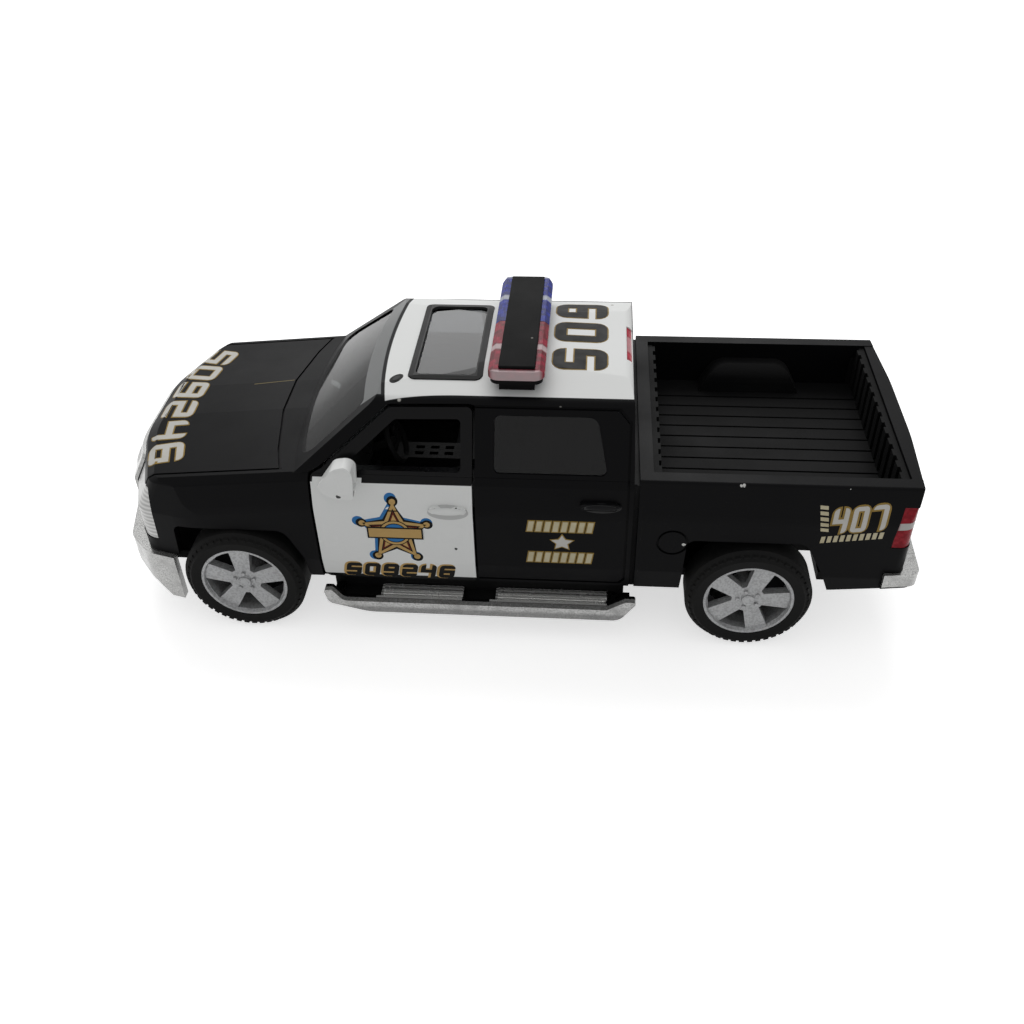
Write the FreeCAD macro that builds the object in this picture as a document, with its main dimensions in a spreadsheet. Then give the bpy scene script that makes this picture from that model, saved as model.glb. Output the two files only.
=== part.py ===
import FreeCAD
import Part
import Sketcher
import math
import os

# Die-cast toy police pickup with a crew cab, in millimetres.
# +X is forward, +Y is the toy's left side, +Z is up.
# The origin is on the ground below the middle of the toy.

doc = FreeCAD.newDocument("toy_pickup")

# Driving dimensions: alias, value in millimetres or degrees, meaning
SIZES = [
    ("front_end", 63.5, "front bumper's foremost point, from the origin"),
    ("rear_end", 63.5, "rear bumper's rearmost point, from the origin"),
    ("nose_x", 61.4, "front of the body casting at the middle"),
    ("tail_x", 61.4, "rear of the tailgate at the middle"),
    ("half_width", 22.2, "body side from the middle"),
    ("casting_wall", 1.4, "wall of the die-cast body"),
    ("sill_z", 10.2, "lower edge of the body side"),
    ("quarter_lift", 2.6, "rise of that edge towards the tail"),
    ("crease_z", 14.0, "lower crease along the body side"),
    ("shoulder_z", 24.4, "where the body side starts to lean in"),
    ("shoulder_lean", 0.2, "lean of the shoulder, across for each millimetre up"),
    ("belt_z", 29.4, "belt line below the side windows"),
    ("rail_z", 30.5, "top of the load bed rail"),
    ("hood_z", 30.7, "hood along its middle, at the rear"),
    ("hood_fall", 0.09, "fall of the hood, down for each millimetre forward"),
    ("dome_half_width", 14.0, "raised middle of the hood"),
    ("lean_z", 21.5, "where the nose starts to lean back"),
    ("nose_lean", 0.55, "lean of the nose, back for each millimetre up"),
    ("brow_z", 27.0, "where the nose turns over into the hood"),
    ("brow_lean", 1.65, "lean of the hood's front edge"),
    ("grille_base_z", 13.4, "lower edge of the nose, above the bumper"),
    ("grille_half_width", 12.4, "grille opening from the middle"),
    ("grille_top_z", 26.0, "upper edge of the grille opening"),
    ("grille_proud", 0.5, "grille in front of the nose"),
    ("slat_count", 4, "openings of the grille, one above the other"),
    ("slat_wall", 0.8, "bars and frame of the grille"),
    ("lamp_base_z", 16.0, "lower edge of the headlamps"),
    ("lamp_top_z", 25.7, "upper edge of the headlamps"),
    ("lamp_depth", 1.6, "depth of the lamps"),
    ("tail_lamp_base_z", 20.2, "lower edge of the tail lamps"),
    ("tail_lamp_top_z", 27.4, "upper edge of the tail lamps"),
    ("hood_rear_x", 33.0, "gap behind the hood, at the side"),
    ("screen_base_x", 32.4, "foot of the windshield at the middle"),
    ("screen_bow", 90.0, "radius of the windshield seen from above"),
    ("roof_front_x", 18.8, "front edge of the roof at the middle"),
    ("cab_rear_x", 19.6, "back wall of the cab, behind the origin"),
    ("bed_gap", 0.8, "gap between the cab and the load bed"),
    ("roof_edge_z", 39.9, "edge of the roof above the doors"),
    ("roof_z", 41.6, "top of the roof"),
    ("roof_half_width", 15.6, "edge of the roof from the middle"),
    ("cab_step", 1.8, "ledge between the body side and the side windows"),
    ("glass_wall", 0.9, "thickness of the clear mouldings"),
    ("glass_inset", 0.25, "clear mouldings below the casting's surface"),
    ("groove_width", 0.35, "cast lines that mark the panels"),
    ("groove_depth", 0.35, "depth of those lines"),
    ("front_axle_x", 41.2, "front axle from the origin"),
    ("wheelbase", 79.2, "distance between the axles"),
    ("tyre_radius", 9.7, "tyre to its tread"),
    ("tyre_width", 6.4, "tyre between its side walls"),
    ("wheel_face_y", 23.9, "outer face of the wheels from the middle"),
    ("rim_radius", 6.9, "rim in its tyre"),
    ("rim_width", 5.6, "rim along its axle"),
    ("rim_wall", 0.5, "barrel wall of a rim"),
    ("rim_dish", 0.8, "spokes behind the tyre's outer face"),
    ("spoke_count", 5, "spokes of a rim"),
    ("spoke_wall", 1.3, "thickness of the spokes"),
    ("spoke_half_width", 1.38, "half a spoke's width at the rim"),
    ("rear_spoke_turn", 18.0, "turn of the rear wheels as they stand"),
    ("hub_radius", 2.2, "hub of a rim"),
    ("hub_cap_wall", 0.7, "hub's outer wall, which closes the axle's bore"),
    ("axle_radius", 0.9, "steel axle"),
    ("axle_clearance", 0.08, "running clearance round the axle"),
    ("fit_gap", 0.05, "clearance between pieces that seat in each other"),
    ("arch_top_z", 19.7, "top of the front wheel arches"),
    ("rear_arch_rise", 0.7, "rear wheel arches above the front ones"),
    ("rear_arch_lean", 2.6, "slant of the rear arches' rear side"),
    ("arch_gap", 1.0, "arch before and behind the tyre"),
    ("well_half_width", 10.0, "base plate between the wheels"),
    ("bearing_gap", 0.6, "base plate from the tyres' inner sides"),
    ("door_gap", 0.4, "gap round a door"),
    ("door_wall", 1.2, "thickness of a door"),
    ("door_front_x", 28.3, "front edge of the doors"),
    ("door_rear_x", 4.2, "rear edge of the doors"),
    ("hinge_inset_x", 1.2, "hinge axis behind the door's front edge"),
    ("hinge_inset_y", 0.6, "hinge axis inside the door's skin"),
    ("rear_door_end_x", 18.6, "rear edge of the rear doors, behind the origin"),
    ("handle_length", 5.4, "door handles"),
    ("handle_height", 1.2, "door handles"),
    ("handle_z", 24.9, "middle of the front door handles"),
    ("rear_handle_z", 26.4, "middle of the rear door handles"),
    ("mirror_reach", 2.1, "mirrors beyond the body side"),
    ("mirror_depth", 3.4, "mirror head across the toy"),
    ("mirror_height", 6.0, "mirror head, from two millimetres below the belt line"),
    ("filler_radius", 2.4, "fuel filler door"),
    ("filler_z", 19.9, "middle of the fuel filler door"),
    ("bed_floor_z", 21.5, "load bed floor"),
    ("bed_front_x", 22.4, "front of the load space, behind the origin"),
    ("bed_rear_x", 59.2, "rear of the load space, behind the origin"),
    ("bed_half_width", 18.7, "load space from the middle"),
    ("liner_wall", 0.8, "wall of the bed liner"),
    ("rib_count", 9, "ribs of the bed floor"),
    ("rib_pitch", 3.0, "spacing of those ribs"),
    ("rib_height", 0.5, "ribs above the bed floor"),
    ("tooth_count", 13, "upright ribs of the liner's end walls"),
    ("tooth_depth", 0.4, "depth of those ribs"),
    ("hump_height", 5.3, "wheel humps above the bed floor"),
    ("hump_width", 3.6, "wheel humps from the side of the load space"),
    ("base_z", 8.6, "underside of the base plate"),
    ("base_half_width", 19.6, "base plate from the middle, between the wheels"),
    ("keel_z", 6.4, "underside of the base plate's keel"),
    ("shelf_z", 5.2, "underside of the shelf that carries a running board"),
    ("board_z", 4.7, "underside of the running boards"),
    ("board_y", 23.9, "outer edge of the running boards"),
    ("board_rail", 1.5, "outer rail of a running board"),
    ("board_rear_x", 21.0, "rear end of the running boards, behind the origin"),
    ("plate_z", 6.5, "top of the step plates"),
    ("tread_rib_count", 6, "ribs of a step plate"),
    ("bumper_wall", 1.5, "wall of the bumpers"),
    ("bumper_base_z", 4.6, "underside of the front bumper"),
    ("rear_bumper_base_z", 12.9, "underside of the rear bumper"),
    ("rear_bumper_top_z", 15.3, "top of the rear bumper"),
    ("valance_height", 0.7, "black valance below the rear bumper"),
    ("bar_half_length", 14.7, "light bar from the middle"),
    ("bar_front_x", 2.0, "front of the light bar"),
    ("bar_rear_x", 6.2, "rear of the light bar, behind the origin"),
    ("bar_base_z", 42.1, "underside of the light bar"),
    ("bar_foot_height", 0.8, "light bar's black base"),
    ("bar_height", 2.8, "light bar"),
    ("bar_cover", 0.5, "cover on the light bar's lenses"),
    ("sunroof_front_x", 14.3, "front edge of the sunroof"),
    ("sunroof_rear_x", 3.1, "rear edge of the sunroof"),
    ("sunroof_half_width", 11.4, "sunroof from the middle"),
    ("sunroof_frame", 1.0, "frame of the sunroof"),
    ("high_lamp_half_width", 5.0, "brake lamp at the roof's rear edge"),
    ("seat_width", 11.0, "front seats"),
    ("seat_y", 8.0, "middle of a front seat"),
    ("cushion_z", 19.0, "top of the seat cushions"),
    ("backrest_z", 31.0, "top of the backrests"),
    ("floor_z", 11.6, "cab floor"),
]

sheet = doc.addObject("Spreadsheet::Sheet", "Sizes")
for row, (alias, amount, meaning) in enumerate(SIZES, start=1):
    sheet.set(f"A{row}", meaning)
    sheet.set(f"B{row}", str(amount))
    sheet.setAlias(f"B{row}", alias)
doc.recompute()


class Size:
    """A length of the model: its value now, and the expression that ties it to the sheet."""

    def __init__(self, value, text):
        self.value = float(value)
        self.text = text

    def joined(self, sign, other, value):
        return Size(value, f"({self.text} {sign} {other.text})")

    def __add__(self, other):
        other = as_size(other)
        return self.joined("+", other, self.value + other.value)

    def __sub__(self, other):
        other = as_size(other)
        return self.joined("-", other, self.value - other.value)

    def __mul__(self, other):
        other = as_size(other)
        return self.joined("*", other, self.value * other.value)

    def __truediv__(self, other):
        other = as_size(other)
        return self.joined("/", other, self.value / other.value)

    def __neg__(self):
        return Size(-self.value, f"(0 - {self.text})")

    def __radd__(self, other):
        return as_size(other) + self

    def __rsub__(self, other):
        return as_size(other) - self

    def __rmul__(self, other):
        return as_size(other) * self


def as_size(amount):
    return amount if isinstance(amount, Size) else Size(amount, f"{float(amount):.6f}")


def size(alias):
    return Size(sheet.get(alias), f"Sizes.{alias}")


S = {alias: size(alias) for alias, amount, meaning in SIZES}
PARTS = {}


def bind(thing, prop, amount):
    """Sets a property from a size and ties it to the sheet."""
    amount = as_size(amount)
    setattr(thing, prop, amount.value)
    thing.setExpression(prop, amount.text)


# Planes of the outlines: side is X and Z, plan is X and Y, front is Y and Z
PLANES = {
    "side": ("XZ_Plane", FreeCAD.Rotation(FreeCAD.Vector(1, 0, 0), 90)),
    "plan": ("XY_Plane", FreeCAD.Rotation()),
    "front": ("YZ_Plane", FreeCAD.Rotation(FreeCAD.Vector(1, 1, 1), 120)),
}


def corner_arc(before, corner, after, radius):
    """Rounds a corner: where the arc starts and ends, the arc, and whether it turns left."""
    to_before = (before - corner).normalize()
    to_after = (after - corner).normalize()
    half = to_before.getAngle(to_after) / 2
    reach = radius / math.tan(half)
    centre = corner + (to_before + to_after).normalize() * (radius / math.sin(half))
    first = corner + to_before * reach
    last = corner + to_after * reach
    left = to_after.cross(to_before).z > 0
    low, high = (first, last) if left else (last, first)
    low_angle = math.atan2(low.y - centre.y, low.x - centre.x)
    high_angle = math.atan2(high.y - centre.y, high.x - centre.x)
    if high_angle < low_angle:
        high_angle += 2 * math.pi
    circle = Part.Circle(centre, FreeCAD.Vector(0, 0, 1), radius)
    return first, last, Part.ArcOfCircle(circle, low_angle, high_angle), left


def draw_outline(sketch, corners):
    """Draws a closed outline of corners (x, y) or (x, y, radius), each tied to the sheet."""
    spots = [(as_size(c[0]), as_size(c[1]), as_size(c[2]) if len(c) > 2 else None) for c in corners]
    points = [FreeCAD.Vector(x.value, y.value, 0) for x, y, radius in spots]
    count = len(points)
    starts = list(points)
    ends = list(points)
    rounds = {}
    for i, (x, y, radius) in enumerate(spots):
        if radius is not None:
            first, last, arc, left = corner_arc(points[i - 1], points[i], points[(i + 1) % count],
                                                radius.value)
            ends[i] = first
            starts[i] = last
            rounds[i] = (arc, left)
    geometry = [Part.LineSegment(starts[i], ends[(i + 1) % count]) for i in range(count)]
    marks = []
    ties = []
    bound = []

    def tie_point(item, end, x, y):
        for kind, amount in (("DistanceX", x), ("DistanceY", y)):
            bound.append((len(ties), amount.text))
            ties.append(Sketcher.Constraint(kind, -1, 1, item, end, amount.value))

    for i, (x, y, radius) in enumerate(spots):
        before = (i - 1) % count
        if radius is None:
            ties.append(Sketcher.Constraint("Coincident", before, 2, i, 1))
            tie_point(i, 1, x, y)
        else:
            arc, left = rounds[i]
            item = count + len(marks)
            geometry.append(arc)
            mark = Part.Point(points[i])
            marks.append(mark)
            meets, leaves = (1, 2) if left else (2, 1)
            ties.append(Sketcher.Constraint("Tangent", before, 2, item, meets))
            ties.append(Sketcher.Constraint("Tangent", item, leaves, i, 1))
            bound.append((len(ties), radius.text))
            ties.append(Sketcher.Constraint("Radius", item, radius.value))
    first_mark = len(geometry)
    sketch.addGeometry(geometry, False)
    sketch.addGeometry(marks, True)
    rounded = [i for i, spot in enumerate(spots) if spot[2] is not None]
    for number, i in enumerate(rounded):
        mark = first_mark + number
        ties.append(Sketcher.Constraint("PointOnObject", mark, 1, (i - 1) % count))
        ties.append(Sketcher.Constraint("PointOnObject", mark, 1, i))
        tie_point(mark, 1, spots[i][0], spots[i][1])
    sketch.addConstraint(ties)
    for index, text in bound:
        sketch.setExpression(f"Constraints[{index}]", text)


def free_sketch(name, plane):
    sketch = doc.addObject("Sketcher::SketchObject", name + "_outline")
    sketch.Placement = FreeCAD.Placement(FreeCAD.Vector(), PLANES[plane][1])
    return sketch


def prism(name, plane, corners, low, high):
    """An outline carried from low to high along the axis that its plane leaves out."""
    sketch = free_sketch(name, plane)
    draw_outline(sketch, corners)
    solid = doc.addObject("Part::Extrusion", name)
    solid.Base = sketch
    solid.DirMode = "Normal"
    solid.Solid = True
    low = as_size(low)
    high = as_size(high)
    if plane == "side":
        bind(solid, "LengthFwd", -low)
        bind(solid, "LengthRev", high)
    else:
        bind(solid, "LengthFwd", high)
        bind(solid, "LengthRev", -low)
    return solid


def box(name, low, high):
    solid = doc.addObject("Part::Box", name)
    for prop, a, b in zip(("Length", "Width", "Height"), low, high):
        bind(solid, prop, as_size(b) - as_size(a))
    for axis, a in zip("xyz", low):
        solid.setExpression(f"Placement.Base.{axis}", as_size(a).text)
    return solid


def rod(name, radius, low, high, x, z):
    """A cylinder along Y from low to high."""
    solid = doc.addObject("Part::Cylinder", name)
    bind(solid, "Radius", radius)
    bind(solid, "Height", as_size(high) - as_size(low))
    solid.Placement.Rotation = FreeCAD.Rotation(FreeCAD.Vector(1, 0, 0), -90)
    solid.setExpression("Placement.Base.x", as_size(x).text)
    solid.setExpression("Placement.Base.y", as_size(low).text)
    solid.setExpression("Placement.Base.z", as_size(z).text)
    return solid


def post(name, radius, x, y, low, high):
    """A cylinder along Z from low to high."""
    solid = doc.addObject("Part::Cylinder", name)
    bind(solid, "Radius", radius)
    bind(solid, "Height", as_size(high) - as_size(low))
    for axis, amount in (("x", x), ("y", y), ("z", low)):
        solid.setExpression(f"Placement.Base.{axis}", as_size(amount).text)
    return solid


def common(name, *solids):
    result = doc.addObject("Part::MultiCommon", name)
    result.Shapes = list(solids)
    return result


def fuse(name, *solids):
    result = doc.addObject("Part::MultiFuse", name)
    result.Shapes = list(solids)
    return result


def cut(name, base, *tools):
    result = doc.addObject("Part::Cut", name)
    result.Base = base
    result.Tool = tools[0] if len(tools) == 1 else fuse(name + "_tools", *tools)
    return result


def twin(name, solid):
    """The same solid on the toy's other side."""
    result = doc.addObject("Part::Mirroring", name)
    result.Source = solid
    result.Normal = FreeCAD.Vector(0, 1, 0)
    return result


def keep(node, solid):
    """Names a finished sub-part."""
    solid.Label = node
    PARTS[node] = solid
    return solid


def both_sides(outline):
    """Completes the outline of the left half with its mirror image."""
    right = [(-as_size(c[0]), *c[1:]) for c in reversed(outline)]
    return list(outline) + right


def both_flanks(outline):
    """Completes a plan outline of the left half with its mirror image."""
    right = [(c[0], -as_size(c[1]), *c[2:]) for c in reversed(outline)]
    return list(outline) + right


def slant(name, plane, corners, at, direction, back, ahead):
    """An outline carried along a slanting direction (x, z), back and ahead of its place (x, z)."""
    sketch = free_sketch(name, plane)
    draw_outline(sketch, corners)
    for axis, amount in zip("xz", at):
        sketch.setExpression(f"Placement.Base.{axis}", as_size(amount).text)
    solid = doc.addObject("Part::Extrusion", name)
    solid.Base = sketch
    solid.DirMode = "Custom"
    solid.Solid = True
    solid.Dir = FreeCAD.Vector(1, 0, 1)
    for axis, amount in zip("xz", direction):
        solid.setExpression(f"Dir.{axis}", as_size(amount).text)
    bind(solid, "LengthFwd", ahead)
    bind(solid, "LengthRev", back)
    return solid


REAR_AXLE_X = S["front_axle_x"] - S["wheelbase"]
DOOR_HINGE_X = S["door_front_x"] - S["hinge_inset_x"]
DOOR_HINGE_Y = S["half_width"] - S["hinge_inset_y"]
COWL_X = S["screen_base_x"] - 2.8
FILLER_X = REAR_AXLE_X + 12.3
GAP_MIDDLE_X = -S["cab_rear_x"] - 0.5 * S["bed_gap"]
FAR = 40.0
NONE = as_size(0.0)


# Outer forms of the casting, each drawn inset by a wall

def nose_corners(inset):
    """The left half of the nose seen from above, from the flank to the middle."""
    nose = S["nose_x"] - inset
    side = S["half_width"] - inset
    return [
        (nose - 12.5, side, 18.0),
        (nose - 4.4, side - 1.9, 3.2),
        (nose, 0.33 * S["half_width"], 14.0),
    ]


def plan_form(name, inset, low, high):
    """The toy seen from above: rounded nose, long flanks, bowed tail."""
    tail = -S["tail_x"] + inset
    outline = both_flanks([
        (tail, 0.35 * S["half_width"], 60.0),
        (tail + 0.9, S["half_width"] - inset, 1.6),
        *nose_corners(inset),
    ])
    return prism(name, "plan", outline, low, high)


def leaning_nose(name, inset):
    """Two forms that lean the nose back: first gently, then over into the hood."""
    outline = both_flanks([(-S["tail_x"] - FAR, S["half_width"] - inset), *nose_corners(inset)])
    brow_x = -S["nose_lean"] * (S["brow_z"] - S["lean_z"])
    grille = slant(name + "_nose", "plan", outline, (NONE, S["lean_z"]), (-S["nose_lean"], 1.0), FAR, FAR)
    brow = slant(name + "_brow", "plan", outline, (brow_x, S["brow_z"]), (-S["brow_lean"], 1.0), FAR, FAR)
    return grille, brow


def half_section(inset, crown):
    """The left half of the lower body seen from the front: crease, leaning shoulder, then its crown."""
    side = S["half_width"] - inset
    top = crown[0][0]
    return both_sides([
        (side - 0.8, S["sill_z"] - 6.0),
        (side - 0.8, S["sill_z"] - 1.5),
        (side, S["crease_z"], 2.0),
        (side, S["shoulder_z"], 7.0),
        (side - S["shoulder_lean"] * (top - S["shoulder_z"]), *crown[0]),
        *crown[1:],
    ])


def sections(name, inset):
    """Hood, cab and load bed, each with its own section, one behind the other."""
    crease = S["belt_z"] - 0.5
    ledge = (S["half_width"] - S["cab_step"] - inset, S["belt_z"] + 0.3 - inset)
    hood = slant(name + "_hood", "front", half_section(inset, [
        (crease, 0.5),
        (S["half_width"] - 2.1 - inset, S["hood_z"] - 0.9 - inset),
        (S["dome_half_width"], S["hood_z"] - 0.55 - inset),
        (0.3 * S["dome_half_width"], S["hood_z"] - inset),
    ]), (COWL_X, NONE), (1.0, -S["hood_fall"]), 0.0, FAR)
    cab = prism(name + "_cab", "front", half_section(inset, [(crease, 0.5), ledge]), GAP_MIDDLE_X, COWL_X)
    bed = prism(name + "_bed", "front", half_section(inset, [(S["rail_z"] - 0.1 - inset, 0.5)]),
                -S["tail_x"] - 5.0, GAP_MIDDLE_X)
    return fuse(name + "_sections", hood, cab, bed)


def lower_form(name, inset, drop):
    """The whole lower body, from the tail to the nose, its lower edge dropped by a distance."""
    edge = prism(name + "_edge", "side", [
        (-S["tail_x"] - 5.0, S["sill_z"] + S["quarter_lift"] - drop),
        (REAR_AXLE_X - 12.5, S["sill_z"] + 0.8 - drop),
        (REAR_AXLE_X, S["sill_z"] - drop),
        (S["front_axle_x"] - 8.0, S["sill_z"] - drop),
        (S["front_axle_x"] + 8.0, S["grille_base_z"] - drop),
        (S["nose_x"] + 5.0, S["grille_base_z"] - drop),
        (S["nose_x"] + 5.0, FAR),
        (-S["tail_x"] - 5.0, FAR),
    ], -FAR, FAR)
    plan = plan_form(name + "_plan", inset, S["sill_z"] - 6.0, FAR)
    grille, brow = leaning_nose(name, inset)
    return common(name, plan, grille, brow, edge, sections(name, inset))


def cab_form(name, inset, foot):
    """The glasshouse: raked windshield, crowned roof and leaning sides."""
    rake = (S["screen_base_x"] - S["roof_front_x"]) / (S["roof_z"] - 1.9 - S["belt_z"])
    apex_x = S["screen_base_x"] + 2.1 - 1.6 * inset
    flank_x = apex_x - 0.216 * FAR
    screen = slant(name + "_screen", "plan", [
        (-FAR, FAR), (flank_x, FAR), (apex_x, 0.0, S["screen_bow"]), (flank_x, -FAR), (-FAR, -FAR),
    ], (NONE, S["belt_z"] + 0.9), (-rake, 1.0), FAR, FAR)
    side = prism(name + "_side", "side", [
        (FAR, foot),
        (FAR, S["roof_edge_z"] - 0.6 - inset),
        (0.0, S["roof_z"] - inset, 60.0),
        (-S["cab_rear_x"] + 0.4 + inset, S["roof_edge_z"] + 1.1 - inset, 1.6),
        (-S["cab_rear_x"] + inset, S["rail_z"]),
        (-S["cab_rear_x"] + inset, foot),
    ], -FAR, FAR)
    wall_y = S["half_width"] - S["cab_step"] - inset
    front = prism(name + "_front", "front", both_sides([
        (wall_y, foot),
        (wall_y, S["belt_z"] + 0.2, 2.0),
        (S["roof_half_width"] - inset, S["roof_edge_z"] - 0.3 * inset, 2.2),
        (0.45 * S["roof_half_width"], S["roof_z"] - inset, 30.0),
    ]), -FAR, FAR)
    return common(name, side, front, screen)


def whole_form(name, inset, drop):
    """The outer form of the toy's casting: lower body and cab."""
    return fuse(name, lower_form(name + "_low", inset, drop),
                cab_form(name + "_cab", inset, S["belt_z"] - 4.0 - drop))


OUTER = whole_form("outer_form", NONE, NONE)
TRIM_INSET = 2 * S["fit_gap"]
TRIM_BACK = TRIM_INSET + S["lamp_depth"]
TRIM_INNER = lower_form("trim_inner", TRIM_BACK, as_size(5.0))
TRIM_SKIN = cut("trim_skin", lower_form("trim_outer", TRIM_INSET, NONE), TRIM_INNER)


# Outlines of doors, windows and lamps

def door_outline(grow):
    """A front door seen from the side, grown all round by a gap."""
    return [
        (S["door_rear_x"] - grow, S["sill_z"] - grow, 0.5),
        (S["door_front_x"] + grow, S["sill_z"] - grow, 1.2),
        (S["door_front_x"] + grow, S["belt_z"] + 0.2 + 0.5 * grow, 0.5),
        (S["door_front_x"] - 1.6 + grow, S["belt_z"] + 1.0 + 0.6 * grow, 0.8),
        (S["roof_front_x"] - 2.4 + 0.5 * grow, S["roof_edge_z"] - 1.0 + grow, 1.5),
        (S["door_rear_x"] - grow, S["roof_edge_z"] - 0.8 + grow, 0.8),
    ]


def door_window_outline():
    return [
        (S["door_rear_x"] + 1.7, S["belt_z"] + 0.9, 0.6),
        (S["door_front_x"] - 4.4, S["belt_z"] + 0.9, 0.6),
        (S["roof_front_x"] - 3.2, S["roof_edge_z"] - 2.6, 1.0),
        (S["door_rear_x"] + 1.7, S["roof_edge_z"] - 2.4, 0.6),
    ]


def rear_door_outline(grow):
    """A rear door, which is cast with the body and marked by a line all round."""
    front_x = S["door_rear_x"] - S["door_gap"] + grow
    rear_x = -S["rear_door_end_x"] - grow
    return [
        (rear_x + 0.8, S["sill_z"] + 0.9 - grow),
        (front_x, S["sill_z"] + 0.9 - grow),
        (front_x, S["roof_edge_z"] - 0.9 + grow),
        (rear_x + 1.6, S["roof_edge_z"] - 0.9 + grow),
        (rear_x, S["roof_edge_z"] - 2.6 + grow),
        (rear_x, S["sill_z"] + 1.8 - grow),
    ]


def rear_window_outline(shrink):
    return [
        (-S["cab_rear_x"] + 3.9 + shrink, S["belt_z"] + 0.9 + shrink, 0.8),
        (S["door_rear_x"] - 3.2 - shrink, S["belt_z"] + 0.9 + shrink, 0.8),
        (S["door_rear_x"] - 3.2 - shrink, S["roof_edge_z"] - 1.8 - shrink, 0.8),
        (-S["cab_rear_x"] + 5.6 + shrink, S["roof_edge_z"] - 1.8 - shrink, 1.5),
    ]


def screen_outline(shrink):
    return both_sides([
        (S["half_width"] - 3.9 - shrink, S["belt_z"] + 1.4 + shrink, 1.2),
        (S["roof_half_width"] - 1.2 - shrink, S["roof_edge_z"] - 1.4 - shrink, 1.6),
    ])


def back_window_outline(shrink):
    return both_sides([
        (S["roof_half_width"] - 1.6 - shrink, S["rail_z"] + 1.2 + shrink, 1.0),
        (S["roof_half_width"] - 3.0 - shrink, S["roof_edge_z"] - 2.2 - shrink, 1.2),
    ])


def sunroof_outline(shrink):
    return both_flanks([
        (S["sunroof_rear_x"] + shrink, S["sunroof_half_width"] - shrink, 1.2),
        (S["sunroof_front_x"] - shrink, S["sunroof_half_width"] - shrink, 1.2),
    ])


def arch_cut(name, axle_x, rise, lean):
    """A wheel arch: steep in front, slanting behind, and a flat top with rounded corners."""
    foot = S["sill_z"] - 3.0
    reach = S["tyre_radius"] + S["arch_gap"]
    top = S["arch_top_z"] + rise
    return prism(name, "side", [
        (axle_x - reach - lean, foot),
        (axle_x + reach, foot),
        (axle_x + reach - 0.6, top, 1.4),
        (axle_x - reach + 3.2, top, 2.4),
        (axle_x - reach + 0.6 - 0.2 * lean, S["sill_z"] + 4.0),
    ], -FAR, FAR)


def lamp_shape(name, shrink):
    """The left headlamp: round the corner of the nose to a slanting edge on the fender."""
    front = prism(name + "_front", "front", [
        (S["grille_half_width"] + 0.5 + shrink, S["lamp_base_z"] + shrink, 0.8),
        (FAR, S["lamp_base_z"] + shrink),
        (FAR, S["lamp_top_z"] - shrink),
        (S["grille_half_width"] + 0.5 + shrink, S["lamp_top_z"] - shrink, 0.8),
    ], S["nose_x"] - 9.0, S["nose_x"] + 5.0)
    side = prism(name + "_side", "side", [
        (S["nose_x"] - 6.2 + shrink, 0.0),
        (S["nose_x"] + 5.0, 0.0),
        (S["nose_x"] + 5.0, FAR),
        (S["nose_x"] - 7.6 + shrink, FAR),
    ], 0.0, FAR)
    return common(name, front, side)


def grille_outline(shrink):
    return both_sides([
        (S["grille_half_width"] - shrink, S["grille_base_z"] + 0.8 + shrink, 1.0),
        (S["grille_half_width"] - shrink, S["grille_top_z"] - shrink, 1.0),
    ])


def tail_lamp_shape(name, shrink):
    """The left tail lamp: round the corner of the tail to a slanting edge on the load bed."""
    inner = S["bed_half_width"] + shrink
    front = prism(name + "_front", "front", [
        (inner, S["tail_lamp_base_z"] + shrink),
        (FAR, S["tail_lamp_base_z"] + shrink),
        (FAR, S["tail_lamp_top_z"] - shrink),
        (inner, S["tail_lamp_top_z"] - shrink),
    ], -S["tail_x"] - 5.0, -S["tail_x"] + 6.0)
    side = prism(name + "_side", "side", [
        (-S["tail_x"] - 5.0, 0.0),
        (-S["tail_x"] + 6.4 - shrink, 0.0),
        (-S["tail_x"] + 1.6 - shrink, FAR),
        (-S["tail_x"] - 5.0, FAR),
    ], 0.0, FAR)
    return common(name, front, side)


# The body casting

def plan_band(name, corners):
    """A band across the toy seen from above, for a cast line that follows half an outline."""
    front = both_flanks(corners)
    back = [(c[0] - S["groove_width"], c[1]) for c in reversed(front)]
    return prism(name, "plan", front + back, S["belt_z"] - 3.0, FAR)


def side_ring(name, outline):
    """A band all round an outline seen from the side."""
    return cut(name, prism(name + "_outer", "side", outline(S["groove_width"]), -FAR, FAR),
               prism(name + "_inner", "side", outline(NONE), -FAR, FAR))


def make_panel_lines():
    """The cast lines of the hood, the rear doors and the fuel filler door, and the roof's recesses."""
    fender_y = S["half_width"] - 3.1
    hood_line = plan_band("hood_line", [
        (S["hood_rear_x"] + 0.4, fender_y + S["groove_width"]),
        (S["hood_rear_x"] + 1.8, 0.65 * S["half_width"]),
        (S["hood_rear_x"] + 3.4, 0.2 * S["half_width"]),
    ])
    fender_line = box("fender_line", (S["hood_rear_x"], fender_y, S["belt_z"] - 6.0),
                      (S["nose_x"] - 4.0, fender_y + S["groove_width"], FAR))
    filler = cut("filler_line",
                 rod("filler_outer", S["filler_radius"], 0.0, FAR, FILLER_X, S["filler_z"]),
                 rod("filler_inner", S["filler_radius"] - S["groove_width"], -1.0, FAR + 1.0, FILLER_X,
                     S["filler_z"]))
    bands = fuse("panel_bands", hood_line, fender_line, twin("fender_line_right", fender_line),
                 side_ring("rear_door_line", rear_door_outline), filler)
    core = whole_form("panel_core", S["groove_depth"], 1.0)
    return cut("panel_lines", bands, core)


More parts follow.
